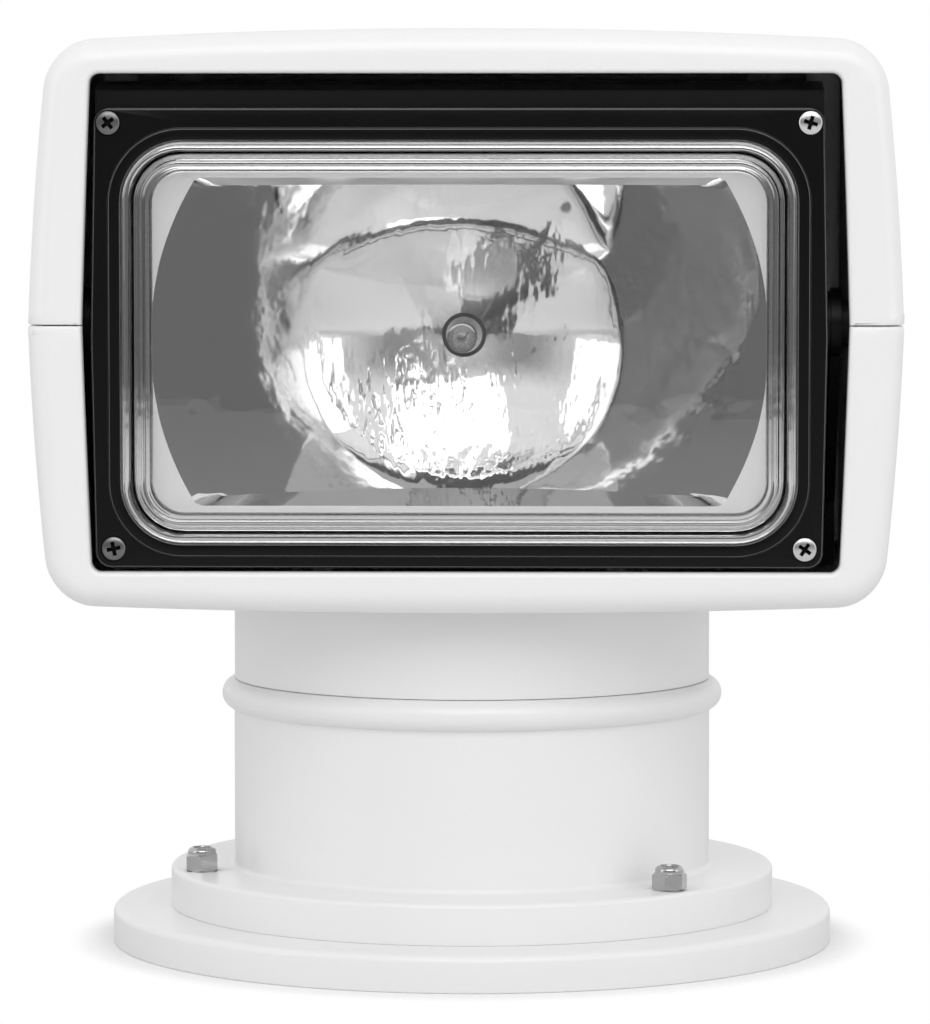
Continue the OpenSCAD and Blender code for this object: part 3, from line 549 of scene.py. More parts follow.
def loft(rings: Sequence[Sequence[Point]], closed: bool = False, caps: bool = False) -> Mesh:
    """Join rings of equal counts by a skin of four-sided faces.

    Args:
        rings: closed rings of points.
        closed: join the last ring to the first one.
        caps: close the first and the last ring.

    Returns:
        Points and faces.
    """
    n = len(rings[0])
    points = [p for ring in rings for p in ring]
    faces: list[tuple[int, ...]] = []
    for s in range(len(rings) if closed else len(rings) - 1):
        a, b = s * n, ((s + 1) % len(rings)) * n
        faces += [(a + i, a + (i + 1) % n, b + (i + 1) % n, b + i) for i in range(n)]
    if caps:
        faces.append(tuple(range(n - 1, -1, -1)))
        faces.append(tuple((len(rings) - 1) * n + i for i in range(n)))
    return points, faces


def directions(steps: int) -> list[float]:
    """Even directions round a circle, in radians."""
    return [math.tau * i / steps for i in range(steps)]


def lathe(outline: Sequence[Flat], steps: int) -> Mesh:
    """Turn a closed outline about the upright axis.

    Args:
        outline: radius and height of its points, in order.
        steps: faces round the axis.

    Returns:
        Points and faces.
    """
    turns = directions(steps)
    rings = [[(r * math.cos(a), r * math.sin(a), z) for a in turns] for r, z in outline]
    return loft(rings, closed=True)


def linked(name: str, data: bpy.types.ID) -> bpy.types.Object:
    """Make an object from its data and put it into the scene.

    Args:
        name: the object's name.
        data: its mesh, camera or lamp.

    Returns:
        The new object.
    """
    made = bpy.data.objects.new(name, data)
    bpy.context.collection.objects.link(made)
    return made


def new_piece(name: str, mesh: Mesh, finish: Finishes, matrix: Matrix | None = None,
              sharp: float = 35.0) -> bpy.types.Object:
    """Make an object from points and faces.

    Args:
        name: the piece's name.
        mesh: points and faces.
        finish: its finish.
        matrix: where the mesh goes in the part's frame.
        sharp: angle in degrees above which an edge stays crisp.

    Returns:
        The new object.
    """
    data = bpy.data.meshes.new(name)
    data.from_pydata([tuple(p) for p in mesh[0]], [], mesh[1])
    if matrix:
        data.transform(matrix)
    work = bmesh.new()
    work.from_mesh(data)
    bmesh.ops.remove_doubles(work, verts=work.verts, dist=1e-7)
    bmesh.ops.recalc_face_normals(work, faces=work.faces)
    work.to_mesh(data)
    work.free()
    data.validate()
    data.materials.append(finish.material())
    made = linked(name, data)
    smooth(made, sharp)
    return made


def add_finish(piece: bpy.types.Object, finish: Finishes) -> int:
    """Give a piece one more finish and return its number, for the faces that have it."""
    piece.data.materials.append(finish.material())
    return len(piece.data.materials) - 1


def smooth(piece: bpy.types.Object, sharp: float = 35.0) -> None:
    """Shade a piece smooth, with crisp edges above an angle in degrees."""
    piece.data.shade_smooth()
    piece.data.set_sharp_from_angle(angle=math.radians(sharp))


def joined(meshes: Iterable[Mesh]) -> Mesh:
    """Put several meshes into one.

    Args:
        meshes: points and faces of each.

    Returns:
        Points and faces of them all.
    """
    points: list = []
    faces: list = []
    for more_points, more_faces in meshes:
        start = len(points)
        points += list(more_points)
        faces += [tuple(i + start for i in f) for f in more_faces]
    return points, faces


def moved(mesh: Mesh, matrix: Matrix) -> Mesh:
    """Move the points of a mesh."""
    return [tuple(matrix @ Vector(p)) for p in mesh[0]], mesh[1]


def cut(piece: bpy.types.Object, shape: Mesh) -> bpy.types.Object:
    """Cut a closed shape out of a piece.

    Args:
        piece: the object.
        shape: points and faces of what is cut away.

    Returns:
        The same object.
    """
    cutter = new_piece("cutter", shape, Finishes.WHITE)
    cutter.data.materials.clear()
    made = piece.modifiers.new("cut", "BOOLEAN")
    made.operation = "DIFFERENCE"
    made.solver = "EXACT"
    made.object = cutter
    graph = bpy.context.evaluated_depsgraph_get()
    data = bpy.data.meshes.new_from_object(piece.evaluated_get(graph))
    piece.modifiers.clear()
    piece.data = data
    bpy.data.objects.remove(cutter)
    return piece


def add_mesh(piece: bpy.types.Object, mesh: Mesh) -> None:
    """Add a mesh to a piece.

    Args:
        piece: the object.
        mesh: points and faces of what is added.
    """
    work = bmesh.new()
    work.from_mesh(piece.data)
    points = [work.verts.new(p) for p in mesh[0]]
    added = [work.faces.new([points[i] for i in f]) for f in mesh[1]]
    bmesh.ops.recalc_face_normals(work, faces=added)
    work.to_mesh(piece.data)
    work.free()


def facing_front(x: float, y: float, z: float) -> Matrix:
    """Frame whose own Z axis points to the front, at a place in the part's frame."""
    return Matrix.Translation((x, y, z)) @ Matrix.Rotation(math.radians(90), 4, "X")


class SubAssembly:
    """A group of pieces that ride on one body."""

    body = "base"

    def carry(self, piece: bpy.types.Object, slot: str, *nodes: str) -> bpy.types.Object:
        """Let a piece ride on the body and stand for CAD nodes.

        Args:
            piece: the object.
            slot: the record's material slot; not used.
            nodes: the CAD nodes that it stands for.

        Returns:
            The same object.
        """
        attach(piece, self.body)
        if nodes:
            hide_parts(*nodes)
        LOG.info("%s on %s", piece.name, self.body)
        return piece


# Places and round shapes


@dataclass(frozen=True)
class Box:
    """Where a node of the frame lies, in metres."""

    low: Vector
    high: Vector

    @classmethod
    def of(cls, node: str) -> "Box":
        """The box of a node at rest."""
        return cls(*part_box(node))

    @property
    def size(self) -> Vector:
        """Width, depth and height."""
        return self.high - self.low

    @property
    def middle(self) -> Vector:
        """The middle of the box."""
        return (self.high + self.low) / 2


def ring_of(count: int, radius: float, first: float) -> list[Flat]:
    """Places on a circle.

    Args:
        count: number of places.
        radius: radius of the circle.
        first: angle of the first place from +X, in degrees.

    Returns:
        X and Y of each place.
    """
    turns = [math.radians(first + 360 * i / count) for i in range(count)]
    return [(radius * math.cos(a), radius * math.sin(a)) for a in turns]


def tapers(places: Iterable[Flat], radii: Flat, heights: Flat, steps: int = 32) -> Mesh:
    """Upright cones with cut ends at several places.

    Args:
        places: X and Y of each axis.
        radii: radius of the lower and of the upper end.
        heights: height of the lower and of the upper end.
        steps: faces round each.

    Returns:
        Points and faces.
    """
    turns = directions(steps)
    found = []
    for x, y in places:
        rings = [[(x + r * math.cos(a), y + r * math.sin(a), z) for a in turns]
                 for r, z in zip(radii, heights)]
        found.append(loft(rings, caps=True))
    return joined(found)


def cylinders(places: Iterable[Flat], radius: float, low: float, high: float, steps: int = 32) -> Mesh:
    """Upright cylinders of one radius, from a low to a high end."""
    return tapers(places, (radius, radius), (low, high), steps)


def wire(path: Sequence[Point], radius: float, sides: int = 8) -> Mesh:
    """A round wire along a path.

    Args:
        path: points along its middle.
        radius: radius of the wire.
        sides: faces round it.

    Returns:
        Points and faces.
    """
    points = [Vector(p) for p in path]
    turns = directions(sides)
    rings = []
    # Any start that isn't along the path will do: each step turns it square to the wire.
    across = Vector((1, 0.3, 0.1))
    for i, here in enumerate(points):
        along = (points[min(i + 1, len(points) - 1)] - points[max(i - 1, 0)]).normalized()
        across = (across - along * across.dot(along)).normalized()
        other = along.cross(across)
        rings.append([tuple(here + (across * math.cos(a) + other * math.sin(a)) * radius) for a in turns])
    return loft(rings, caps=True)


def quarter(steps: int) -> list[Flat]:
    """Cosine and sine at even steps from 0 to 90 degrees."""
    turns = [math.radians(90 * k / steps) for k in range(steps + 1)]
    return [(math.cos(a), math.sin(a)) for a in turns]


# Base


@dataclass
class Base(SubAssembly):
    """The plate on the deck, the round housing with its bead, and the studs with their lock nuts."""

    plate: Box = field(default_factory=lambda: Box.of("mounting_plate"))
    house: Box = field(default_factory=lambda: Box.of("base_housing"))
    bush: Box = field(default_factory=lambda: Box.of("pan_bush"))
    gasket: Box = field(default_factory=lambda: Box.of("base_gasket"))
    stud: Box = field(default_factory=lambda: Box.of("mounting_studs"))
    nut_box: Box = field(default_factory=lambda: Box.of("stud_nuts"))
    plate_round: float = 2 * MM
    plate_edge: float = 0.4 * MM
    cable_hole_r: float = 13 * MM
    deck_screws: int = 4
    deck_screw_first: float = 45.0
    deck_screw_r: float = 46 * MM
    deck_hole_r: float = 2.75 * MM
    countersink: float = 2.5 * MM
    flange_t: float = 10.5 * MM
    flange_round: float = 1.2 * MM
    flange_edge: float = 0.3 * MM
    foot_round: float = 1.5 * MM
    wall_r: float = 62.9 * MM
    wall_t: float = 4 * MM
    bead_r: float = 4 * MM
    bead_out: float = 3.2 * MM
    bead_steps: int = 24
    deck_t: float = 4 * MM
    deck_round: float = 1 * MM
    bush_flange_t: float = 2 * MM
    bush_flange_out: float = 4 * MM
    hub_t: float = 5 * MM
    hub_edge: float = 0.5 * MM
    gasket_w: float = 4 * MM
    stud_count: int = 3
    stud_ring: float = 72.9 * MM
    stud_first: float = 75.0
    stud_r: float = 2.5 * MM
    stud_gap: float = 0.15 * MM
    stud_head: Flat = (5 * MM, 4 * MM)
    stud_head_gap: float = 0.1 * MM
    stud_end: float = 0.5 * MM
    thread_pitch: float = 0.5 * MM
    thread_depth: float = 0.25 * MM
    thread_turns: int = 5
    nut_flat: float = 4 * MM
    nut_steps: int = 96
    nut_gap: float = 0.02 * MM
    hex_share: float = 0.7
    chamfer_share: float = 0.97
    chamfer_slope: float = 0.6
    chamfer_steps: int = 6
    collar_r: float = 3.68 * MM
    collar_foot: Flat = (0.15 * MM, 0.25 * MM)
    collar_round: float = 1.2 * MM
    collar_mouth: Flat = (0.15 * MM, 0.3 * MM)
    nut_turns: tuple[float, ...] = (12.0, 2.0, 44.0)

    def build(self) -> None:
        """Make the plate, the housing and the fasteners."""
        self.carry(self.deck_plate(), "white_plastic", "mounting_plate")
        self.carry(self.housing(), "white_plastic", "base_housing")
        self.carry(self.studs(), "steel", "mounting_studs")
        self.carry(self.nuts(), "steel", "stud_nuts")

    @property
    def flange_top(self) -> float:
        """Height of the flange's upper face."""
        return self.plate.high.z + self.flange_t

    def stud_places(self) -> list[Flat]:
        """Where the studs stand."""
        return ring_of(self.stud_count, self.stud_ring, self.stud_first)

    def at_studs(self, mesh: Mesh) -> Mesh:
        """Repeat a mesh at every stud."""
        return joined(moved(mesh, Matrix.Translation((x, y, 0))) for x, y in self.stud_places())

    def deck_plate(self) -> bpy.types.Object:
        """Turn the plate with its rounded edge, and cut its screw holes and the recesses of the stud heads.

        Returns:
            The plate.
        """
        r, top = self.plate.high.x, self.plate.high.z
        outline = filleted([(self.cable_hole_r, 0, 0), (r, 0, self.plate_edge), (r, top, self.plate_round),
                            (self.cable_hole_r, top, 0)])
        made = new_piece("deck_plate", lathe(outline, ROUND_STEPS), Finishes.WHITE)
        screws = ring_of(self.deck_screws, self.deck_screw_r, self.deck_screw_first)
        sink = top - self.countersink
        wide = self.deck_hole_r + self.countersink
        head_r, head_top = self.stud_head
        cut(made, cylinders(screws, self.deck_hole_r, -PAST, top))
        cut(made, tapers(screws, (self.deck_hole_r, wide + PAST), (sink, top + PAST)))
        cut(made, cylinders(self.stud_places(), head_r + self.stud_head_gap, -PAST, head_top))
        smooth(made, 30)
        return made

    def bead(self) -> list[Point]:
        """The rolled bead, from the outside of the wall over its top to the inside.

        Returns:
            Corners without a fillet, in order.
        """
        x, z = self.wall_r + self.bead_out - self.bead_r, self.house.high.z - self.bead_r
        first = -math.acos((self.wall_r - x) / self.bead_r)
        last = math.acos((self.wall_r - self.wall_t - x) / self.bead_r)
        turns = [first + (last - first) * i / self.bead_steps for i in range(self.bead_steps + 1)]
        return [(x + self.bead_r * math.cos(a), z + self.bead_r * math.sin(a), 0) for a in turns]

    def housing(self) -> bpy.types.Object:
        """Turn the housing in one outline: flange, wall, rolled bead, inner deck and bearing hub.

        Returns:
            The housing with the holes of its studs.
        """
        low, top = self.plate.high.z, self.flange_top
        rim = self.house.high.x
        inner = self.wall_r - self.wall_t
        outer = self.gasket.high.x
        land, roof = outer - self.gasket_w, self.gasket.high.z
        deck = self.bush.high.z - self.bush_flange_t
        bush_r = self.bush.high.x - self.bush_flange_out
        hub_r = bush_r + self.hub_t
        hub_low, deck_low = self.bush.low.z, deck - self.deck_t
        corners = [
            (inner, low, 0), (land, low, 0), (land, roof, 0), (outer, roof, 0), (outer, low, 0),
            (rim, low, self.flange_edge), (rim, top, self.flange_round), (self.wall_r, top, self.foot_round),
            *self.bead(),
            (inner, deck, 0), (bush_r, deck, 0), (bush_r, hub_low, 0), (hub_r, hub_low, self.hub_edge),
            (hub_r, deck_low, self.deck_round), (inner, deck_low, self.deck_round)]
        made = new_piece("round_housing", lathe(filleted(corners), ROUND_STEPS), Finishes.WHITE)
        return cut(made, cylinders(self.stud_places(), self.stud_r + self.stud_gap, 0, 2 * top))

    def studs(self) -> bpy.types.Object:
        """Turn the studs with a head in the plate, and a rolled thread on the end that shows in the nut.

        Returns:
            All studs in one piece.
        """
        head_r, head_top = self.stud_head
        low, high = self.stud.low.z, self.stud.high.z
        start = high - self.thread_turns * self.thread_pitch
        corners = [(0, low), (head_r, low), (head_r, head_top), (self.stud_r, head_top), (self.stud_r, start)]
        for i in range(1, self.thread_turns):
            crest = start + i * self.thread_pitch
            root = crest - self.thread_pitch / 2
            corners += [(self.stud_r - self.thread_depth, root), (self.stud_r, crest)]
        corners += [(self.stud_r - self.stud_end, high), (0, high)]
        return new_piece("threaded_studs", self.at_studs(lathe(corners, 48)), Finishes.NUT, sharp=50)

    def nut(self, turn: float) -> Mesh:
        """A lock nut: a hexagon with turned chamfers under a rolled collar.

        Args:
            turn: angle of its first flat, in degrees.

        Returns:
            Points and faces.
        """
        height = self.nut_box.size.z
        hex_h = height * self.hex_share
        corner = self.nut_flat / math.cos(math.pi / 6)
        narrow = self.nut_flat * self.chamfer_share
        bore = self.stud_r + self.nut_gap

        def ring(z: float, most: float) -> list[Point]:
            """Make one ring of the nut.

            Args:
                z: its height.
                most: the radius that its hexagon is cut back to.

            Returns:
                A ring of points.
            """
            points = []
            for a in directions(self.nut_steps):
                flat = self.nut_flat / math.cos((a + math.pi / 6) % (math.pi / 3) - math.pi / 6)
                at = a + math.radians(turn)
                points.append((min(flat, most) * math.cos(at), min(flat, most) * math.sin(at), z))
            return points

        shares = [k / self.chamfer_steps for k in range(self.chamfer_steps + 1)]
        drop = (corner - narrow) * self.chamfer_slope
        foot_out, foot_h = self.collar_foot
        mouth_out, mouth_h = self.collar_mouth
        rings = [ring(0, bore)]
        rings += [ring(drop * k, narrow + (corner - narrow) * k) for k in shares]
        rings += [ring(hex_h - drop * (1 - k), corner - (corner - narrow) * k) for k in shares]
        rings += [ring(hex_h, self.collar_r + foot_out), ring(hex_h + foot_h, self.collar_r)]
        rings += [ring(height - self.collar_round * (1 - s), self.collar_r - self.collar_round * (1 - c))
                  for c, s in quarter(self.chamfer_steps)]
        rings += [ring(height, bore + mouth_out), ring(height - mouth_h, bore)]
        return loft(rings, closed=True)

    def nuts(self) -> bpy.types.Object:
        """Set a nut on each stud, each stopped at its own angle.

        Returns:
            All nuts in one piece.
        """
        every = []
        for (x, y), turn in zip(self.stud_places(), self.nut_turns):
            every.append(moved(self.nut(turn), Matrix.Translation((x, y, self.flange_top))))
        return new_piece("lock_nuts", joined(every), Finishes.NUT, sharp=24)


# Neck and head


@dataclass
class Neck(SubAssembly):
    """The drum that turns on the bead and carries the head."""

    body = "turret"
    box: Box = field(default_factory=lambda: Box.of("neck"))
    house: Box = field(default_factory=lambda: Box.of("base_housing"))
    bead_gap: float = 0.1 * MM
    wall: float = 3.5 * MM
    floor_t: float = 4 * MM
    bore_r: float = 7 * MM
    top_hole_r: float = 40 * MM
    skirt_r: float = 57.9 * MM
    skirt_t: float = 3 * MM
    edge: float = 0.3 * MM
    low_edge: float = 0.2 * MM
    inner_round: float = 1 * MM

    def build(self) -> None:
        """Turn the neck's outline."""
        outer, high = self.box.high.x, self.box.high.z
        skirt_low = self.box.low.z
        low = self.house.high.z + self.bead_gap
        inner = outer - self.wall
        skirt_in = self.skirt_r - self.skirt_t
        roof, floor = high - self.floor_t, low + self.floor_t
        outline = filleted([
            (self.bore_r, low, 0), (skirt_in, low, 0), (skirt_in, skirt_low, self.edge),
            (self.skirt_r, skirt_low, self.edge), (self.skirt_r, low, 0), (outer, low, self.low_edge),
            (outer, high, self.edge), (self.top_hole_r, high, 0), (self.top_hole_r, roof, 0),
            (inner, roof, self.inner_round), (inner, floor, self.inner_round), (self.bore_r, floor, 0)])
        made = new_piece("turning_neck", lathe(outline, ROUND_STEPS), Finishes.WHITE)
        self.carry(made, "white_plastic", "neck")


@dataclass
class Head(SubAssembly):
    """The two white shells, which meet in a fine groove half-way up."""

    body = "turret"
    upper: Box = field(default_factory=lambda: Box.of("upper_shell"))
    lower: Box = field(default_factory=lambda: Box.of("lower_shell"))
    seat_drop: float = 0.5 * MM
    wall: float = 3.5 * MM
    corner_r: float = 11.5 * MM
    corner_least: float = 3 * MM
    back_soften: float = 0.7
    side_first: float = 20 * MM
    side_step: float = 25 * MM
    side_rings: int = 4
    front_round: float = 6 * MM
    back_round: float = 42 * MM
    back_draw: float = 26 * MM
    side_draft: float = 2.4 * MM
    side_sag: float = 3 * MM
    crown_top: float = 3.2 * MM
    crown_bottom: float = 2 * MM
    rim_side: float = 13.8 * MM
    rim_top: float = 11.2 * MM
    rim_bottom: float = 10.6 * MM
    rim_t: float = 4 * MM
    open_sag: float = 0.8 * MM
    open_corner_r: float = 2.5 * MM
    open_round: float = 1.2 * MM
    groove: float = 0.5 * MM
    gap: float = 0.15 * MM
    seat_r: float = 64.8 * MM
    seat_h: float = 5 * MM
    seat_round: float = 0.8 * MM
    seat_steps: int = 128
    neck_hole_r: float = 40 * MM
    bosses: tuple[Flat, ...] = ((92 * MM, -5 * MM), (78.5 * MM, 47.25 * MM))
    boss_r: float = 4.5 * MM
    boss_drop: float = 9 * MM
    boss_floor: float = 1 * MM
    screw_hole_r: float = 4.15 * MM
    screw_sink: float = 12 * MM
    crisp: float = 40.0

    def __post_init__(self) -> None:
        """Work out the head's own box from its two shells."""
        self.half_w = self.upper.high.x
        self.front, self.back = self.upper.low.y, self.upper.high.y
        self.part_z, self.top = self.upper.low.z, self.upper.high.z
        self.bottom = self.lower.low.z + self.seat_drop
        self.half_h = (self.top - self.bottom) / 2
        self.middle = self.bottom + self.half_h

    def build(self) -> None:
        """Make both shells."""
        self.carry(self.shell("lower_head_shell", above=False), "white_plastic", "lower_shell")
        self.carry(self.shell("upper_head_shell", above=True), "white_plastic", "upper_shell")

    def drawn_in(self, x: float, z: float, sag: float, drop: float) -> Flat:
        """Draw a point in towards the corners.

        Args:
            x: distance from the head's middle plane.
            z: height above the head's middle.
            sag: how far the sides curve in at the corners, besides their draft.
            drop: how far the top or the bottom draws in at the corners.

        Returns:
            The drawn point.
        """
        up = (z + self.middle - self.part_z) / self.half_h
        out = x / self.half_w
        draw = self.side_draft * abs(up) + sag * up * up
        return (x - out * draw, z - math.copysign(drop * out * out, z))

    def section(self, y: float, draw: float) -> list[Point]:
        """The head's outline at one distance from its front.

        Args:
            y: where it is along the head.
            draw: how far it draws in there.

        Returns:
            A ring of points.
        """
        r = max(self.corner_r - draw, self.corner_least)
        if y > 0:
            # The corners of the back grow rounder as it draws in.
            r += self.back_soften * draw
        ring = []
        for x, z in rounded_rectangle(self.half_w - draw, self.half_h - draw, r):
            px, pz = self.drawn_in(x, z, self.side_sag, self.crown_top if z > 0 else self.crown_bottom)
            ring.append((px, y, self.middle + pz))
        return ring

    def opening(self, y: float, spread: float) -> list[Point]:
        """The opening's outline at one distance from the front.

        Args:
            y: where it is along the head.
            spread: how far it is spread there.

        Returns:
            A ring of points.
        """
        half_w = self.half_w - self.rim_side
        half_h = self.half_h - (self.rim_top + self.rim_bottom) / 2
        rise = (self.rim_bottom - self.rim_top) / 2
        ring = []
        for x, z in rounded_rectangle(half_w + spread, half_h + spread, self.open_corner_r + spread):
            px, pz = self.drawn_in(x, z + rise, self.open_sag, 0)
            ring.append((px, y, self.middle + pz))
        return ring

    def back_rings(self, inset: float, steps: int) -> list[list[Point]]:
        """The rounded back, from its start to the flat end.

        Args:
            inset: how far it lies inside the outer skin.
            steps: steps of the round.

        Returns:
            Rings of points, in order.
        """
        return [self.section(self.back - inset - self.back_round * (1 - s), inset + self.back_draw * (1 - c))
                for c, s in quarter(steps)]

    def cup(self) -> Mesh:
        """The whole shell: inside, rounded opening, rim and outside.

        Returns:
            Points and faces.
        """
        inside = self.back_rings(self.wall, 9)[::-1]
        inside.append(self.section(self.front + self.rim_t, self.wall))
        edge = [self.opening(self.front + self.rim_t, 0)]
        edge += [self.opening(self.front + self.open_round * (1 - s), self.open_round * (1 - c))
                 for c, s in quarter(5)]
        outside = [self.section(self.front + self.front_round * (1 - c), self.front_round * (1 - s))
                   for c, s in quarter(8)]
        outside += [self.section(self.front + self.side_first + self.side_step * i, 0)
                    for i in range(self.side_rings)]
        outside += self.back_rings(0, 18)
        return loft([*inside, *edge, *outside], caps=True)

    def shell(self, name: str, above: bool) -> bpy.types.Object:
        """One of the two shells, cut from the whole with a soft edge along the parting line.

        Args:
            name: its name.
            above: whether it is the upper one.

        Returns:
            The shell.
        """
        made = new_piece(name, self.cup(), Finishes.WHITE, sharp=self.crisp)
        work = bmesh.new()
        work.from_mesh(made.data)
        level = self.part_z + (self.gap if above else -self.gap)
        done = bmesh.ops.bisect_plane(work, geom=work.verts[:] + work.edges[:] + work.faces[:], dist=TINY,
                                      plane_co=(0, 0, level), plane_no=(0, 0, 1),
                                      clear_outer=not above, clear_inner=above)
        edges = [e for e in done["geom_cut"] if isinstance(e, bmesh.types.BMEdge)]
        shown = [e for e in edges if self.is_shown(e)]
        bmesh.ops.triangle_fill(work, edges=edges, use_beauty=True)
        bmesh.ops.bevel(work, geom=shown, offset=self.groove, segments=2, profile=0.5, affect="EDGES")
        bmesh.ops.recalc_face_normals(work, faces=work.faces)
        work.to_mesh(made.data)
        work.free()
        self.add_inside(made, above)
        smooth(made, self.crisp)
        return made

    @staticmethod
    def is_shown(edge: bmesh.types.BMEdge) -> bool:
        """Find whether a cut edge is on the outside, where its wall faces away from the middle.

        Args:
            edge: an edge along the parting line.

        Returns:
            True where the edge shows.
        """
        least = 0.2
        middle = (edge.verts[0].co + edge.verts[1].co) / 2
        away = Vector((middle.x, middle.y, 0)).normalized()
        return any(face.normal.dot(away) > least for face in edge.link_faces)

    def add_inside(self, shell: bpy.types.Object, above: bool) -> None:
        """Add the screw bosses and, below, the ring that stands on the neck and the sunk screw holes.

        Args:
            shell: the shell.
            above: whether it is the upper one.
        """
        places = [(side * x, y) for x, y in self.bosses for side in (-1, 1)]
        if above:
            add_mesh(shell, cylinders(places, self.boss_r, self.part_z, self.top - self.boss_drop))
            return
        sink = self.bottom + self.screw_sink
        add_mesh(shell, cylinders(places, self.boss_r, sink + self.boss_floor, self.part_z))
        foot, seat = self.lower.low.z, self.lower.low.z + self.seat_h
        ring = filleted([(self.neck_hole_r, foot, 0), (self.seat_r, foot, self.seat_round),
                         (self.seat_r, seat, 0), (self.neck_hole_r, seat, 0)])
        add_mesh(shell, lathe(ring, self.seat_steps))
        cut(shell, cylinders(places, self.screw_hole_r, foot - PAST, sink))


# Lamp


def rectangle_reach(a: float, half_w: float, half_h: float, r: float) -> float:
    """Distance from the middle of a rounded rectangle to its edge.

    Args:
        a: direction in radians.
        half_w: half of the width.
        half_h: half of the height.
        r: radius of the corners.

    Returns:
        The distance.
    """
    c, s = abs(math.cos(a)), abs(math.sin(a))
    reach = min(half_w / max(c, TINY), half_h / max(s, TINY))
    cx, cy = half_w - r, half_h - r
    if reach * c > cx and reach * s > cy:
        b = c * cx + s * cy
        reach = b + math.sqrt(b * b - cx * cx - cy * cy + r * r)
    return reach


@dataclass
class Lamp(SubAssembly):
    """The black bezel with its screws, the moulded lens, the reflector and the bulb."""

    body = "lamp"
    head: Head
    bezel_box: Box = field(default_factory=lambda: Box.of("bezel"))
    glass: Box = field(default_factory=lambda: Box.of("lens"))
    mirror: Box = field(default_factory=lambda: Box.of("reflector"))
    capsule: Box = field(default_factory=lambda: Box.of("bulb"))
    bezel_draft: float = 1.6 * MM
    bezel_corner_r: float = 4 * MM
    bezel_round: float = 0.8 * MM
    lip_w: float = 3 * MM
    lip_t: float = 1 * MM
    lip_round: float = 0.35 * MM
    painted_highlight_slopes: Flat = (0.2, 0.95)
    screw_top: Flat = (87.0 * MM, 53.4 * MM)
    screw_bottom: Flat = (86.0 * MM, -52.4 * MM)
    screw_head_r: float = 2.95 * MM
    screw_gap: float = 0.25 * MM
    screw_proud: float = 0.6 * MM
    screw_sink: float = 1.6 * MM
    screw_r: float = 1.5 * MM
    screw_l: float = 6.5 * MM
    screw_turns: tuple[float, ...] = (38.0, 74.0, 12.0, 55.0)
    dome_power: float = 0.8
    recess_l: float = 1.9 * MM
    recess_w: float = 0.52 * MM
    recess_d: float = 1.3 * MM
    recess_taper: float = 0.6
    recess_past: float = 0.2 * MM
    recess_skin: float = 0.08 * MM
    corner_steps: int = 12
    side_steps: int = 16
    corner_least: float = 2 * MM
    lens_corner_r: float = 15 * MM
    lens_gap: float = 0.3 * MM
    lens_air: float = 0.15 * MM
    lens_lip: float = 1.5 * MM
    lip_back: float = 2.5 * MM
    ridge_edge: float = 1.6 * MM
    ridge_pitch: float = 3.8 * MM
    ridge_h: float = 1.2 * MM
    ridge_power: float = 1.5
    ridge_waves: float = 1.5
    ridge_steps: int = 24
    pane_sink: float = 1.05 * MM
    pane_back: float = 3.6 * MM
    pane_inset: float = 9.5 * MM
    pocket_r: float = 1.3 * MM
    lens_edge: float = 6.3 * MM
    bowl_h: float = 82 * MM
    bowl_wall: float = 1.6 * MM
    bowl_steps: int = 288
    bowl_rows: int = 48
    bowl_back_skip: int = 4
    shelf_draft: float = 2 * MM
    shelf_level: float = 0.8
    window_gap: float = 0.6 * MM
    flange_least: float = 0.2 * MM
    flange_t: float = 2 * MM
    face_slack: float = 0.05 * MM
    bulb_r: float = 3.75 * MM
    bulb_wall: float = 0.2 * MM
    bulb_room: float = 2 * MM
    collar_out: float = 0.95 * MM
    collar_t: float = 2 * MM
    tip_r: float = 0.7 * MM
    tip_l: float = 0.4 * MM
    coil_to_tip: float = 7.0 * MM
    coil_r: float = 0.6 * MM
    coil_l: float = 3.6 * MM
    coil_turns: int = 10
    coil_steps: int = 12
    wire_r: float = 0.12 * MM
    lead_out: float = 1.6 * MM
    lead_rise: float = 0.3 * MM

    def __post_init__(self) -> None:
        """Work out the lamp's axis and the sizes of the lens and the bowl from their boxes."""
        self.x, self.z = self.glass.middle.x, self.glass.middle.z
        self.bezel_z = self.bezel_box.middle.z
        self.bezel_back = self.bezel_box.high.y
        self.bezel_front = self.bezel_box.low.y + self.lip_t
        self.lens_w = self.glass.size.x - 2 * self.lens_lip
        self.lens_h = self.glass.size.z - 2 * self.lens_lip
        self.lens_front_y, self.lens_back = self.glass.low.y, self.glass.high.y
        self.bowl_r = self.lens_w / 2 - self.lens_edge
        self.bowl_depth = self.mirror.size.y - self.bowl_wall
        self.bulb_base = self.mirror.high.y
        self.bulb_l = self.bulb_base - self.capsule.low.y
        self.bulb_hole_r = self.bulb_r + self.bulb_room

    def build(self) -> None:
        """Make every piece of the lamp that shows."""
        self.carry(self.bezel(), "black_plastic", "bezel")
        for number, (place, turn) in enumerate(zip(self.screw_places(), self.screw_turns), 1):
            # The screws on the left get a darker copy of the plating: painted shade.
            finish = Finishes.SCREW if place.translation.x > 0 else Finishes.SHADED_LEFT_SCREW
            made = self.screw(f"bezel_screw_{number}", place, turn, finish)
            self.carry(made, "screw_steel", "bezel_screws")
        self.carry(self.lens(), "lens_glass", "lens")
        self.carry(self.reflector(), "mirror", "reflector")
        self.carry(self.bulb(), "bulb_glass", "bulb")
        self.carry(self.filament(), "spring_steel")

    def screw_places(self) -> list[Matrix]:
        """Frames of the four bezel screws, whose Z axes point to the front."""
        spots = [(side * x, z) for x, z in (self.screw_top, self.screw_bottom) for side in (-1, 1)]
        return [facing_front(self.x + x, self.bezel_front, self.bezel_z + z) for x, z in spots]

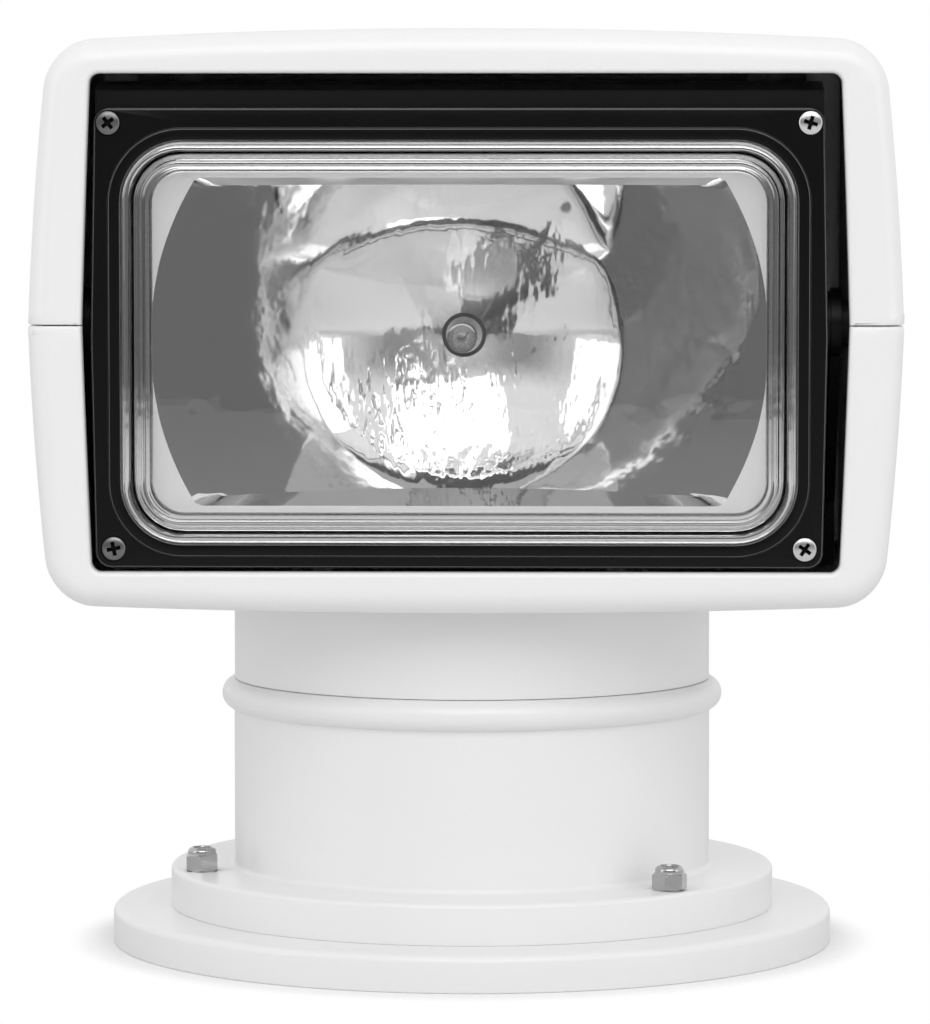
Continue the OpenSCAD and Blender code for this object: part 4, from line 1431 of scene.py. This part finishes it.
    def lens_ring(self, inset: float, y: float) -> list[Point]:
        """The lens's outline at one distance from the front.

        Args:
            inset: how far it is drawn in.
            y: where it is along the lamp.

        Returns:
            A ring of points.
        """
        half_w, half_h = self.lens_w / 2 - inset, self.lens_h / 2 - inset
        r = max(self.lens_corner_r - inset, self.corner_least)
        flat = rounded_rectangle(half_w, half_h, r, self.corner_steps, self.side_steps)
        return [(self.x + x, y, self.z + z) for x, z in flat]

    def bezel_ring(self, inset: float, y: float) -> list[Point]:
        """The bezel's outer outline at one distance from the front.

        Args:
            inset: how far it is drawn in.
            y: where it is along the lamp.

        Returns:
            A ring of points.
        """
        half_w, half_h = self.bezel_box.size.x / 2 - inset, self.bezel_box.size.z / 2 - inset
        r = self.bezel_corner_r - inset
        ring = []
        for x, z in rounded_rectangle(half_w, half_h, r, self.corner_steps, self.side_steps):
            drawn = x - x / self.head.half_w * self.bezel_draft * abs(z) / self.head.half_h
            ring.append((self.x + drawn, y, self.bezel_z + z))
        return ring

    def bezel(self) -> bpy.types.Object:
        """The flat frame with a soft outer edge, a raised lip round the lens and recesses for its screws.

        Returns:
            The bezel, whose rounded edges get a lighter, glossy black: a painted highlight.
        """
        soft, fine = self.bezel_round, self.lip_round
        inner = -self.lens_gap
        outer = inner - self.lip_w
        lip = self.bezel_front - self.lip_t
        rings = [self.bezel_ring(0, self.bezel_back)]
        rings += [self.bezel_ring(soft * (1 - c), self.bezel_front + soft * (1 - s)) for c, s in quarter(4)]
        rings.append(self.lens_ring(outer - fine, self.bezel_front))
        rings += [self.lens_ring(outer + fine * (1 - c), lip + fine * (1 - s)) for c, s in quarter(4)]
        rings += [self.lens_ring(inner - fine * (1 - s), lip + fine * (1 - c)) for c, s in quarter(4)]
        rings.append(self.lens_ring(inner, self.bezel_back))
        made = new_piece("lamp_bezel", loft(rings, closed=True), Finishes.BLACK)
        hole = cylinders([(0, 0)], self.screw_head_r + self.screw_gap, -self.screw_sink, PAST, 48)
        cut(made, joined(moved(hole, place) for place in self.screw_places()))
        # The faces of the rounded edges get a lighter black than the flat face: a painted highlight, over a
        # real glossy coat.
        painted_highlight = add_finish(made, Finishes.PAINTED_EDGE_HIGHLIGHT)
        steep, flat = self.painted_highlight_slopes
        for face in made.data.polygons:
            if steep < -face.normal.y < flat:
                face.material_index = painted_highlight
        smooth(made)
        return made

    def screw(self, name: str, place: Matrix, turn: float, finish: Finishes) -> bpy.types.Object:
        """A pan-head screw with a cross recess.

        Args:
            name: its name.
            place: frame of its head.
            turn: angle at which its recess stopped, in degrees.
            finish: its plating, a darker copy with painted shade for the left screws.

        Returns:
            The screw.
        """
        dome = [(self.screw_head_r * c, self.screw_proud * s ** self.dome_power) for c, s in quarter(8)]
        outline = [(0, -self.screw_l), (self.screw_r, -self.screw_l), (self.screw_r, -self.screw_sink),
                   (self.screw_head_r, -self.screw_sink), *dome]
        made = new_piece(name, lathe(outline, 64), finish, place)
        long, wide = self.recess_l, self.recess_w
        floor, mouth = self.screw_proud - self.recess_d, self.screw_proud + self.recess_past
        ends = ((self.recess_taper, floor), (1.0, mouth))
        corners = ((1, 1), (-1, 1), (-1, -1), (1, -1))
        slot = loft([[(i * long * k, j * wide * k, z) for i, j in corners] for k, z in ends], caps=True)
        for across in (0, 90):
            cut(made, moved(slot, place @ Matrix.Rotation(math.radians(turn + across), 4, "Z")))
        # Faces inside the cross recess get a near-black metal: painted shade.
        recess = add_finish(made, Finishes.PAINTED_RECESS_SHADE)
        for face in made.data.polygons:
            at = place.inverted() @ face.center
            out = at.xy.length
            dome_z = self.screw_proud * max(1 - (out / self.screw_head_r) ** 2, 0) ** (self.dome_power / 2)
            if -self.screw_sink < at.z < dome_z - self.recess_skin and out < long:
                face.material_index = recess
        smooth(made, 30)
        return made

    def lens_front(self) -> list[Flat]:
        """The front of the lens: a round edge, two ridges and the flat pane.

        Returns:
            Inset and depth of each point, in order.
        """
        points = [(self.ridge_edge * (1 - c), self.ridge_edge * (1 - s)) for c, s in quarter(5)]
        for i in range(1, self.ridge_steps + 1):
            waves = self.ridge_waves * i / self.ridge_steps
            depth = self.ridge_h * ((1 - math.cos(math.tau * waves)) / 2) ** self.ridge_power
            inset = self.ridge_edge + waves * self.ridge_pitch
            points.append((inset, depth if waves < 1 else min(depth, self.pane_sink)))
        points.append((self.pane_inset, self.pane_sink))
        return points

    def lens_pocket(self) -> list[Flat]:
        """The back of the pane, with the round corner to the thick edge.

        Returns:
            Inset and depth of each point, in order.
        """
        corner = [(self.lens_edge + self.pocket_r * (1 - s), self.pane_back + self.pocket_r * (1 - c))
                  for c, s in quarter(4)]
        return [(self.pane_inset, self.pane_back), *corner]

    def lens(self) -> bpy.types.Object:
        """The clear lens: a pane with a thick edge, moulded in two rounded ridges round the front.

        Returns:
            The lens.
        """
        front, back = self.lens_front_y, self.lens_back - self.lens_air
        lip = self.lens_lip
        lip_front = back - self.lip_back
        rings = [self.lens_ring(inset, front + depth) for inset, depth in self.lens_pocket()]
        rings.append(self.lens_ring(self.lens_edge, back))
        rings += [self.lens_ring(-lip, back), self.lens_ring(-lip, lip_front), self.lens_ring(0, lip_front)]
        rings += [self.lens_ring(inset, front + depth) for inset, depth in self.lens_front()]
        return new_piece("clear_lens", loft(rings, caps=True), Finishes.LENS, sharp=60)

    def reflector(self) -> bpy.types.Object:
        """A parabolic bowl, cut by a shelf above and below, with a flange behind the lens.

        Returns:
            The reflector, silvered in the bowl and frosted on the flange.
        """
        front, back = self.lens_back, self.lens_back + self.flange_t
        thick = self.bowl_wall / 2
        hole = self.bulb_hole_r
        shares = [k / self.bowl_rows for k in range(self.bowl_rows + 1)]
        bowl = [lambda a, k=k: hole + (self.bowl_reach(a, self.shelf_draft) - hole) * k for k in shares]
        rings = [self.bowl_ring(radius) for radius in bowl]
        rings.append(self.bowl_ring(lambda a: self.bowl_reach(a, 0), front))
        rings.append(self.bowl_ring(
            lambda a: max(self.window(a), self.bowl_reach(a, 0) + self.flange_least), front))
        rings += [self.bowl_ring(self.flange, front), self.bowl_ring(self.flange, back)]
        rings.append(self.bowl_ring(lambda a: self.bowl_reach(a, -thick), back))
        rings += [self.bowl_ring(radius, wall=self.bowl_wall) for radius in bowl[::-self.bowl_back_skip]]
        made = new_piece("silvered_bowl", loft(rings, closed=True), Finishes.MIRROR, sharp=30)
        frosted = add_finish(made, Finishes.FLANGE)
        border = add_finish(made, Finishes.BORDER)
        shelf = self.bowl_h / 2 - self.shelf_draft
        for face in made.data.polygons:
            x, z = face.center.x - self.x, face.center.z - self.z
            if abs(face.center.y - front) < self.face_slack:
                within = math.hypot(x, z) < self.window(math.atan2(z, x))
                face.material_index = frosted if within else border
            elif z > shelf and face.normal.z < -self.shelf_level:
                face.material_index = frosted
        return made

    def bowl_reach(self, a: float, draft: float) -> float:
        """Radius at which the bowl ends in a direction, with its shelves drawn in by a draft."""
        return min(self.bowl_r, (self.bowl_h / 2 - draft) / max(abs(math.sin(a)), TINY))

    def window(self, a: float) -> float:
        """Radius at which the lens's thick edge starts.

        Args:
            a: direction in radians.

        Returns:
            The radius.
        """
        inset = self.lens_edge + self.window_gap
        half_w, half_h = self.lens_w / 2 - inset, self.lens_h / 2 - inset
        return rectangle_reach(a, half_w, half_h, self.lens_corner_r - inset)

    def flange(self, a: float) -> float:
        """Radius at which the reflector's flange ends in a direction."""
        return rectangle_reach(a, self.mirror.size.x / 2, self.mirror.size.z / 2, self.lens_corner_r)

    def bowl_ring(self, radius: Callable[[float], float], y: float | None = None,
                  wall: float = 0.0) -> list[Point]:
        """One ring of the reflector.

        Args:
            radius: its radius in each direction.
            y: where it is along the lamp, or None for a ring on the bowl.
            wall: how far a ring on the bowl lies behind the silvered face.

        Returns:
            A ring of points.
        """
        points = []
        for a in directions(self.bowl_steps):
            r = radius(a)
            deep = self.lens_back + self.bowl_depth * (1 - (r / self.bowl_r) ** 2) + wall if y is None else y
            r += wall / 2
            points.append((self.x + r * math.cos(a), deep, self.z + r * math.sin(a)))
        return points

    def bulb(self) -> bpy.types.Object:
        """The glass of a capsule bulb with a metal collar, a rounded end and the tip where it was sealed.

        Returns:
            The bulb, whose inner faces point into its hollow.
        """
        straight = self.bulb_l - self.bulb_r - self.tip_l
        collar = self.bulb_r + self.collar_out
        deep = self.bulb_base - self.capsule.high.y
        outline = [(0, deep), (collar, deep), (collar, self.collar_t), (self.bulb_r, self.collar_t)]
        outline += [(self.bulb_r * c, straight + self.bulb_r * s) for c, s in quarter(12)
                    if self.bulb_r * c > self.tip_r]
        outline += [(self.tip_r * c, self.bulb_l - self.tip_l * (1 - s)) for c, s in quarter(6)]
        inner = self.bulb_r - self.bulb_wall
        outline += [(inner * c, straight + inner * s) for c, s in quarter(9)[::-1]]
        outline += [(inner, self.collar_t), (0, self.collar_t)]
        place = facing_front(self.x, self.bulb_base, self.z)
        made = new_piece("bulb_glass", lathe(outline, 64), Finishes.BULB, place, sharp=50)
        metal = add_finish(made, Finishes.SCREW)
        for face in made.data.polygons:
            at = place.inverted() @ face.center
            out = math.hypot(at.xy.length, max(at.z - straight, 0))
            if at.z < self.collar_t + self.face_slack:
                face.material_index = metal
            elif out < inner + self.bulb_wall / 2:
                face.flip()
        return made

    def filament(self) -> bpy.types.Object:
        """A coil on the bulb's axis, with one lead from the base and one that comes back beside it.

        Returns:
            The filament.
        """
        low = self.bulb_l - self.coil_to_tip - self.coil_l / 2
        steps = self.coil_turns * self.coil_steps
        path = [(self.coil_r, 0, self.collar_t)]
        for i in range(steps + 1):
            a = math.tau * i / self.coil_steps
            path.append((self.coil_r * math.cos(a), self.coil_r * math.sin(a), low + self.coil_l * i / steps))
        side = self.lead_out
        path += [(side, side, low + self.coil_l + self.lead_rise), (side, side, self.collar_t)]
        return new_piece("bulb_filament", wire(path, self.wire_r), Finishes.SPRING,
                         facing_front(self.x, self.bulb_base, self.z))


# Pieces that keep their own mesh


@dataclass
class Works:
    """Finishes of the inner pieces, which keep the frame's own meshes."""

    nodes: dict[str, bpy.types.Object]
    plan: dict[Finishes, tuple[str, tuple[str, ...]]] = field(default_factory=lambda: {
        Finishes.RUBBER: ("rubber", ("cable_grommet", "base_gasket", "shell_seal", "lens_gasket")),
        Finishes.BRASS: ("brass", ("pan_bush", "pan_pinion", "tilt_pinion")),
        Finishes.IVORY: ("bearing_plastic", ("thrust_washer", "pan_gear", "tilt_sector")),
        Finishes.MOTOR: ("motor_grey", ("pan_motor", "tilt_motor")),
        Finishes.SPRING: ("spring_steel", ("pan_retaining_ring", "bulb_clip")),
        Finishes.STEEL: ("steel", ("pan_shaft", "tilt_motor_bracket")),
        Finishes.PAINTED: ("steel", ("yoke", "trunnion_pins")),
        Finishes.DARK: ("bearing_plastic", ("trunnion_bushes",)),
        Finishes.SCREW: ("screw_steel", (
            "pan_motor_screws", "shaft_screws", "neck_screws", "shell_screws",
            "yoke_screws", "tilt_motor_screws", "bracket_screws", "sector_screws")),
        Finishes.CARRIER: ("black_plastic", ("lamp_carrier",)),
        Finishes.HOLDER: ("holder_plastic", ("bulb_holder",)),
    })

    def build(self) -> None:
        """Give each inner piece its finish."""
        for finish, (slot, names) in self.plan.items():
            for name in names:
                piece = self.nodes[name]
                piece.data.materials.clear()
                piece.data.materials.append(finish.material())
                LOG.info("%s has %s", name, finish.value.name)


# Studio


@dataclass
class Studio:
    """Camera, white room and soft lights, in metres and degrees."""

    eye: Point = (0.028, -1.346, 0.2065)
    pitch: float = 3.97
    yaw: float = 1.27
    focal_px: float = 5100.0
    image_h: float = 1024.0
    sensor: float = 36.0
    clip: Flat = (0.05, 50.0)
    floor_size: float = 6.0
    room: float = 0.76
    mirrored_room: float = 0.95
    mirrored_front: float = 0.16
    front_fade: Flat = (0.45, 0.90)
    ceiling_fade: Flat = (0.16, 0.40)
    key_place: Point = (0.15, -1.9, 1.45)
    key_aim: Point = (0, 0, 0.13)
    key_size: Flat = (2.0, 1.3)
    key_power: float = 15.0
    fill_place: Point = (1.7, -0.9, 0.7)
    fill_aim: Point = (0, 0, 0.12)
    fill_size: Flat = (0.6, 1.2)
    fill_power: float = 2.0

    def build(self) -> None:
        """Set up everything that isn't part of the light."""
        self.camera()
        self.floor()
        self.world()
        self.lamps()
        bpy.context.scene.view_settings.view_transform = "Standard"

    def camera(self) -> None:
        """A long lens a little above the head, turned down to the base."""
        data = bpy.data.cameras.new("camera")
        data.sensor_fit = "VERTICAL"
        data.sensor_height = self.sensor
        data.lens = self.focal_px / self.image_h * self.sensor
        data.clip_start, data.clip_end = self.clip
        made = linked("camera", data)
        made.location = self.eye
        made.rotation_euler = (math.radians(90 - self.pitch), 0, math.radians(self.yaw))
        bpy.context.scene.camera = made

    def floor(self) -> None:
        """A wide sheet of paper under the light."""
        half = self.floor_size / 2
        corners = [(-half, -half, 0), (half, -half, 0), (half, half, 0), (-half, half, 0)]
        data = bpy.data.meshes.new("floor")
        data.from_pydata(corners, [], [(0, 1, 2, 3)])
        data.materials.append(Finishes.FLOOR.material())
        linked("floor", data)

    def world(self) -> None:
        """A white room; in mirrors and through glass its front wall is dark below the ceiling."""
        world = bpy.data.worlds.new("room")
        bpy.context.scene.world = world
        world.use_nodes = True
        shader = Shader(world.node_tree)
        _, y, z = shader.axes(shader.node("ShaderNodeTexCoord").outputs["Generated"])
        ahead = (y * -1.0).ease(*self.front_fade) * (1 - z.ease(*self.ceiling_fade))
        mirrored = shader.mix(ahead, grey(self.mirrored_room), grey(self.mirrored_front))
        ray = shader.node("ShaderNodeLightPath")
        glossy = Value(shader, ray.outputs["Is Glossy Ray"])
        shiny = glossy.at_least(Value(shader, ray.outputs["Is Transmission Ray"]))
        level = shader.mix(shiny, grey(self.room), mirrored)
        seen = shader.mix(ray.outputs["Is Camera Ray"], level, grey(1.0))
        sky = shader.node("ShaderNodeBackground", None, {"Color": seen, "Strength": 1.0})
        shader.node("ShaderNodeOutputWorld", None, {"Surface": sky.outputs[0]})

    def lamps(self) -> None:
        """A key softbox in front and above, and a weaker one at each side."""
        self.softbox("key", self.key_place, self.key_aim, self.key_size, self.key_power)
        out, y, z = self.fill_place
        for name, x in (("left_fill", -out), ("right_fill", out)):
            self.softbox(name, (x, y, z), self.fill_aim, self.fill_size, self.fill_power)

    @staticmethod
    def softbox(name: str, place: Point, target: Point, size: Flat, power: float) -> None:
        """One rectangular lamp.

        Args:
            name: its name.
            place: where it hangs.
            target: what it points at.
            size: its width and height.
            power: its power in watts.
        """
        data = bpy.data.lights.new(name, "AREA")
        data.shape = "RECTANGLE"
        data.size, data.size_y = size
        data.energy = power
        made = linked(name, data)
        made.location = place
        aim = Vector(target) - Vector(place)
        made.rotation_euler = aim.to_track_quat("-Z", "Y").to_euler()


def main() -> None:
    """Build the light and its studio over the frame."""
    logging.basicConfig(level=logging.INFO, format="%(name)s: %(message)s")
    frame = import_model()
    head = Head()
    for part in (Base(), Neck(), head, Lamp(head), Works(frame["nodes"]), Studio()):
        LOG.info("building %s", type(part).__name__)
        part.build()


if __name__ == "__main__":
    main()
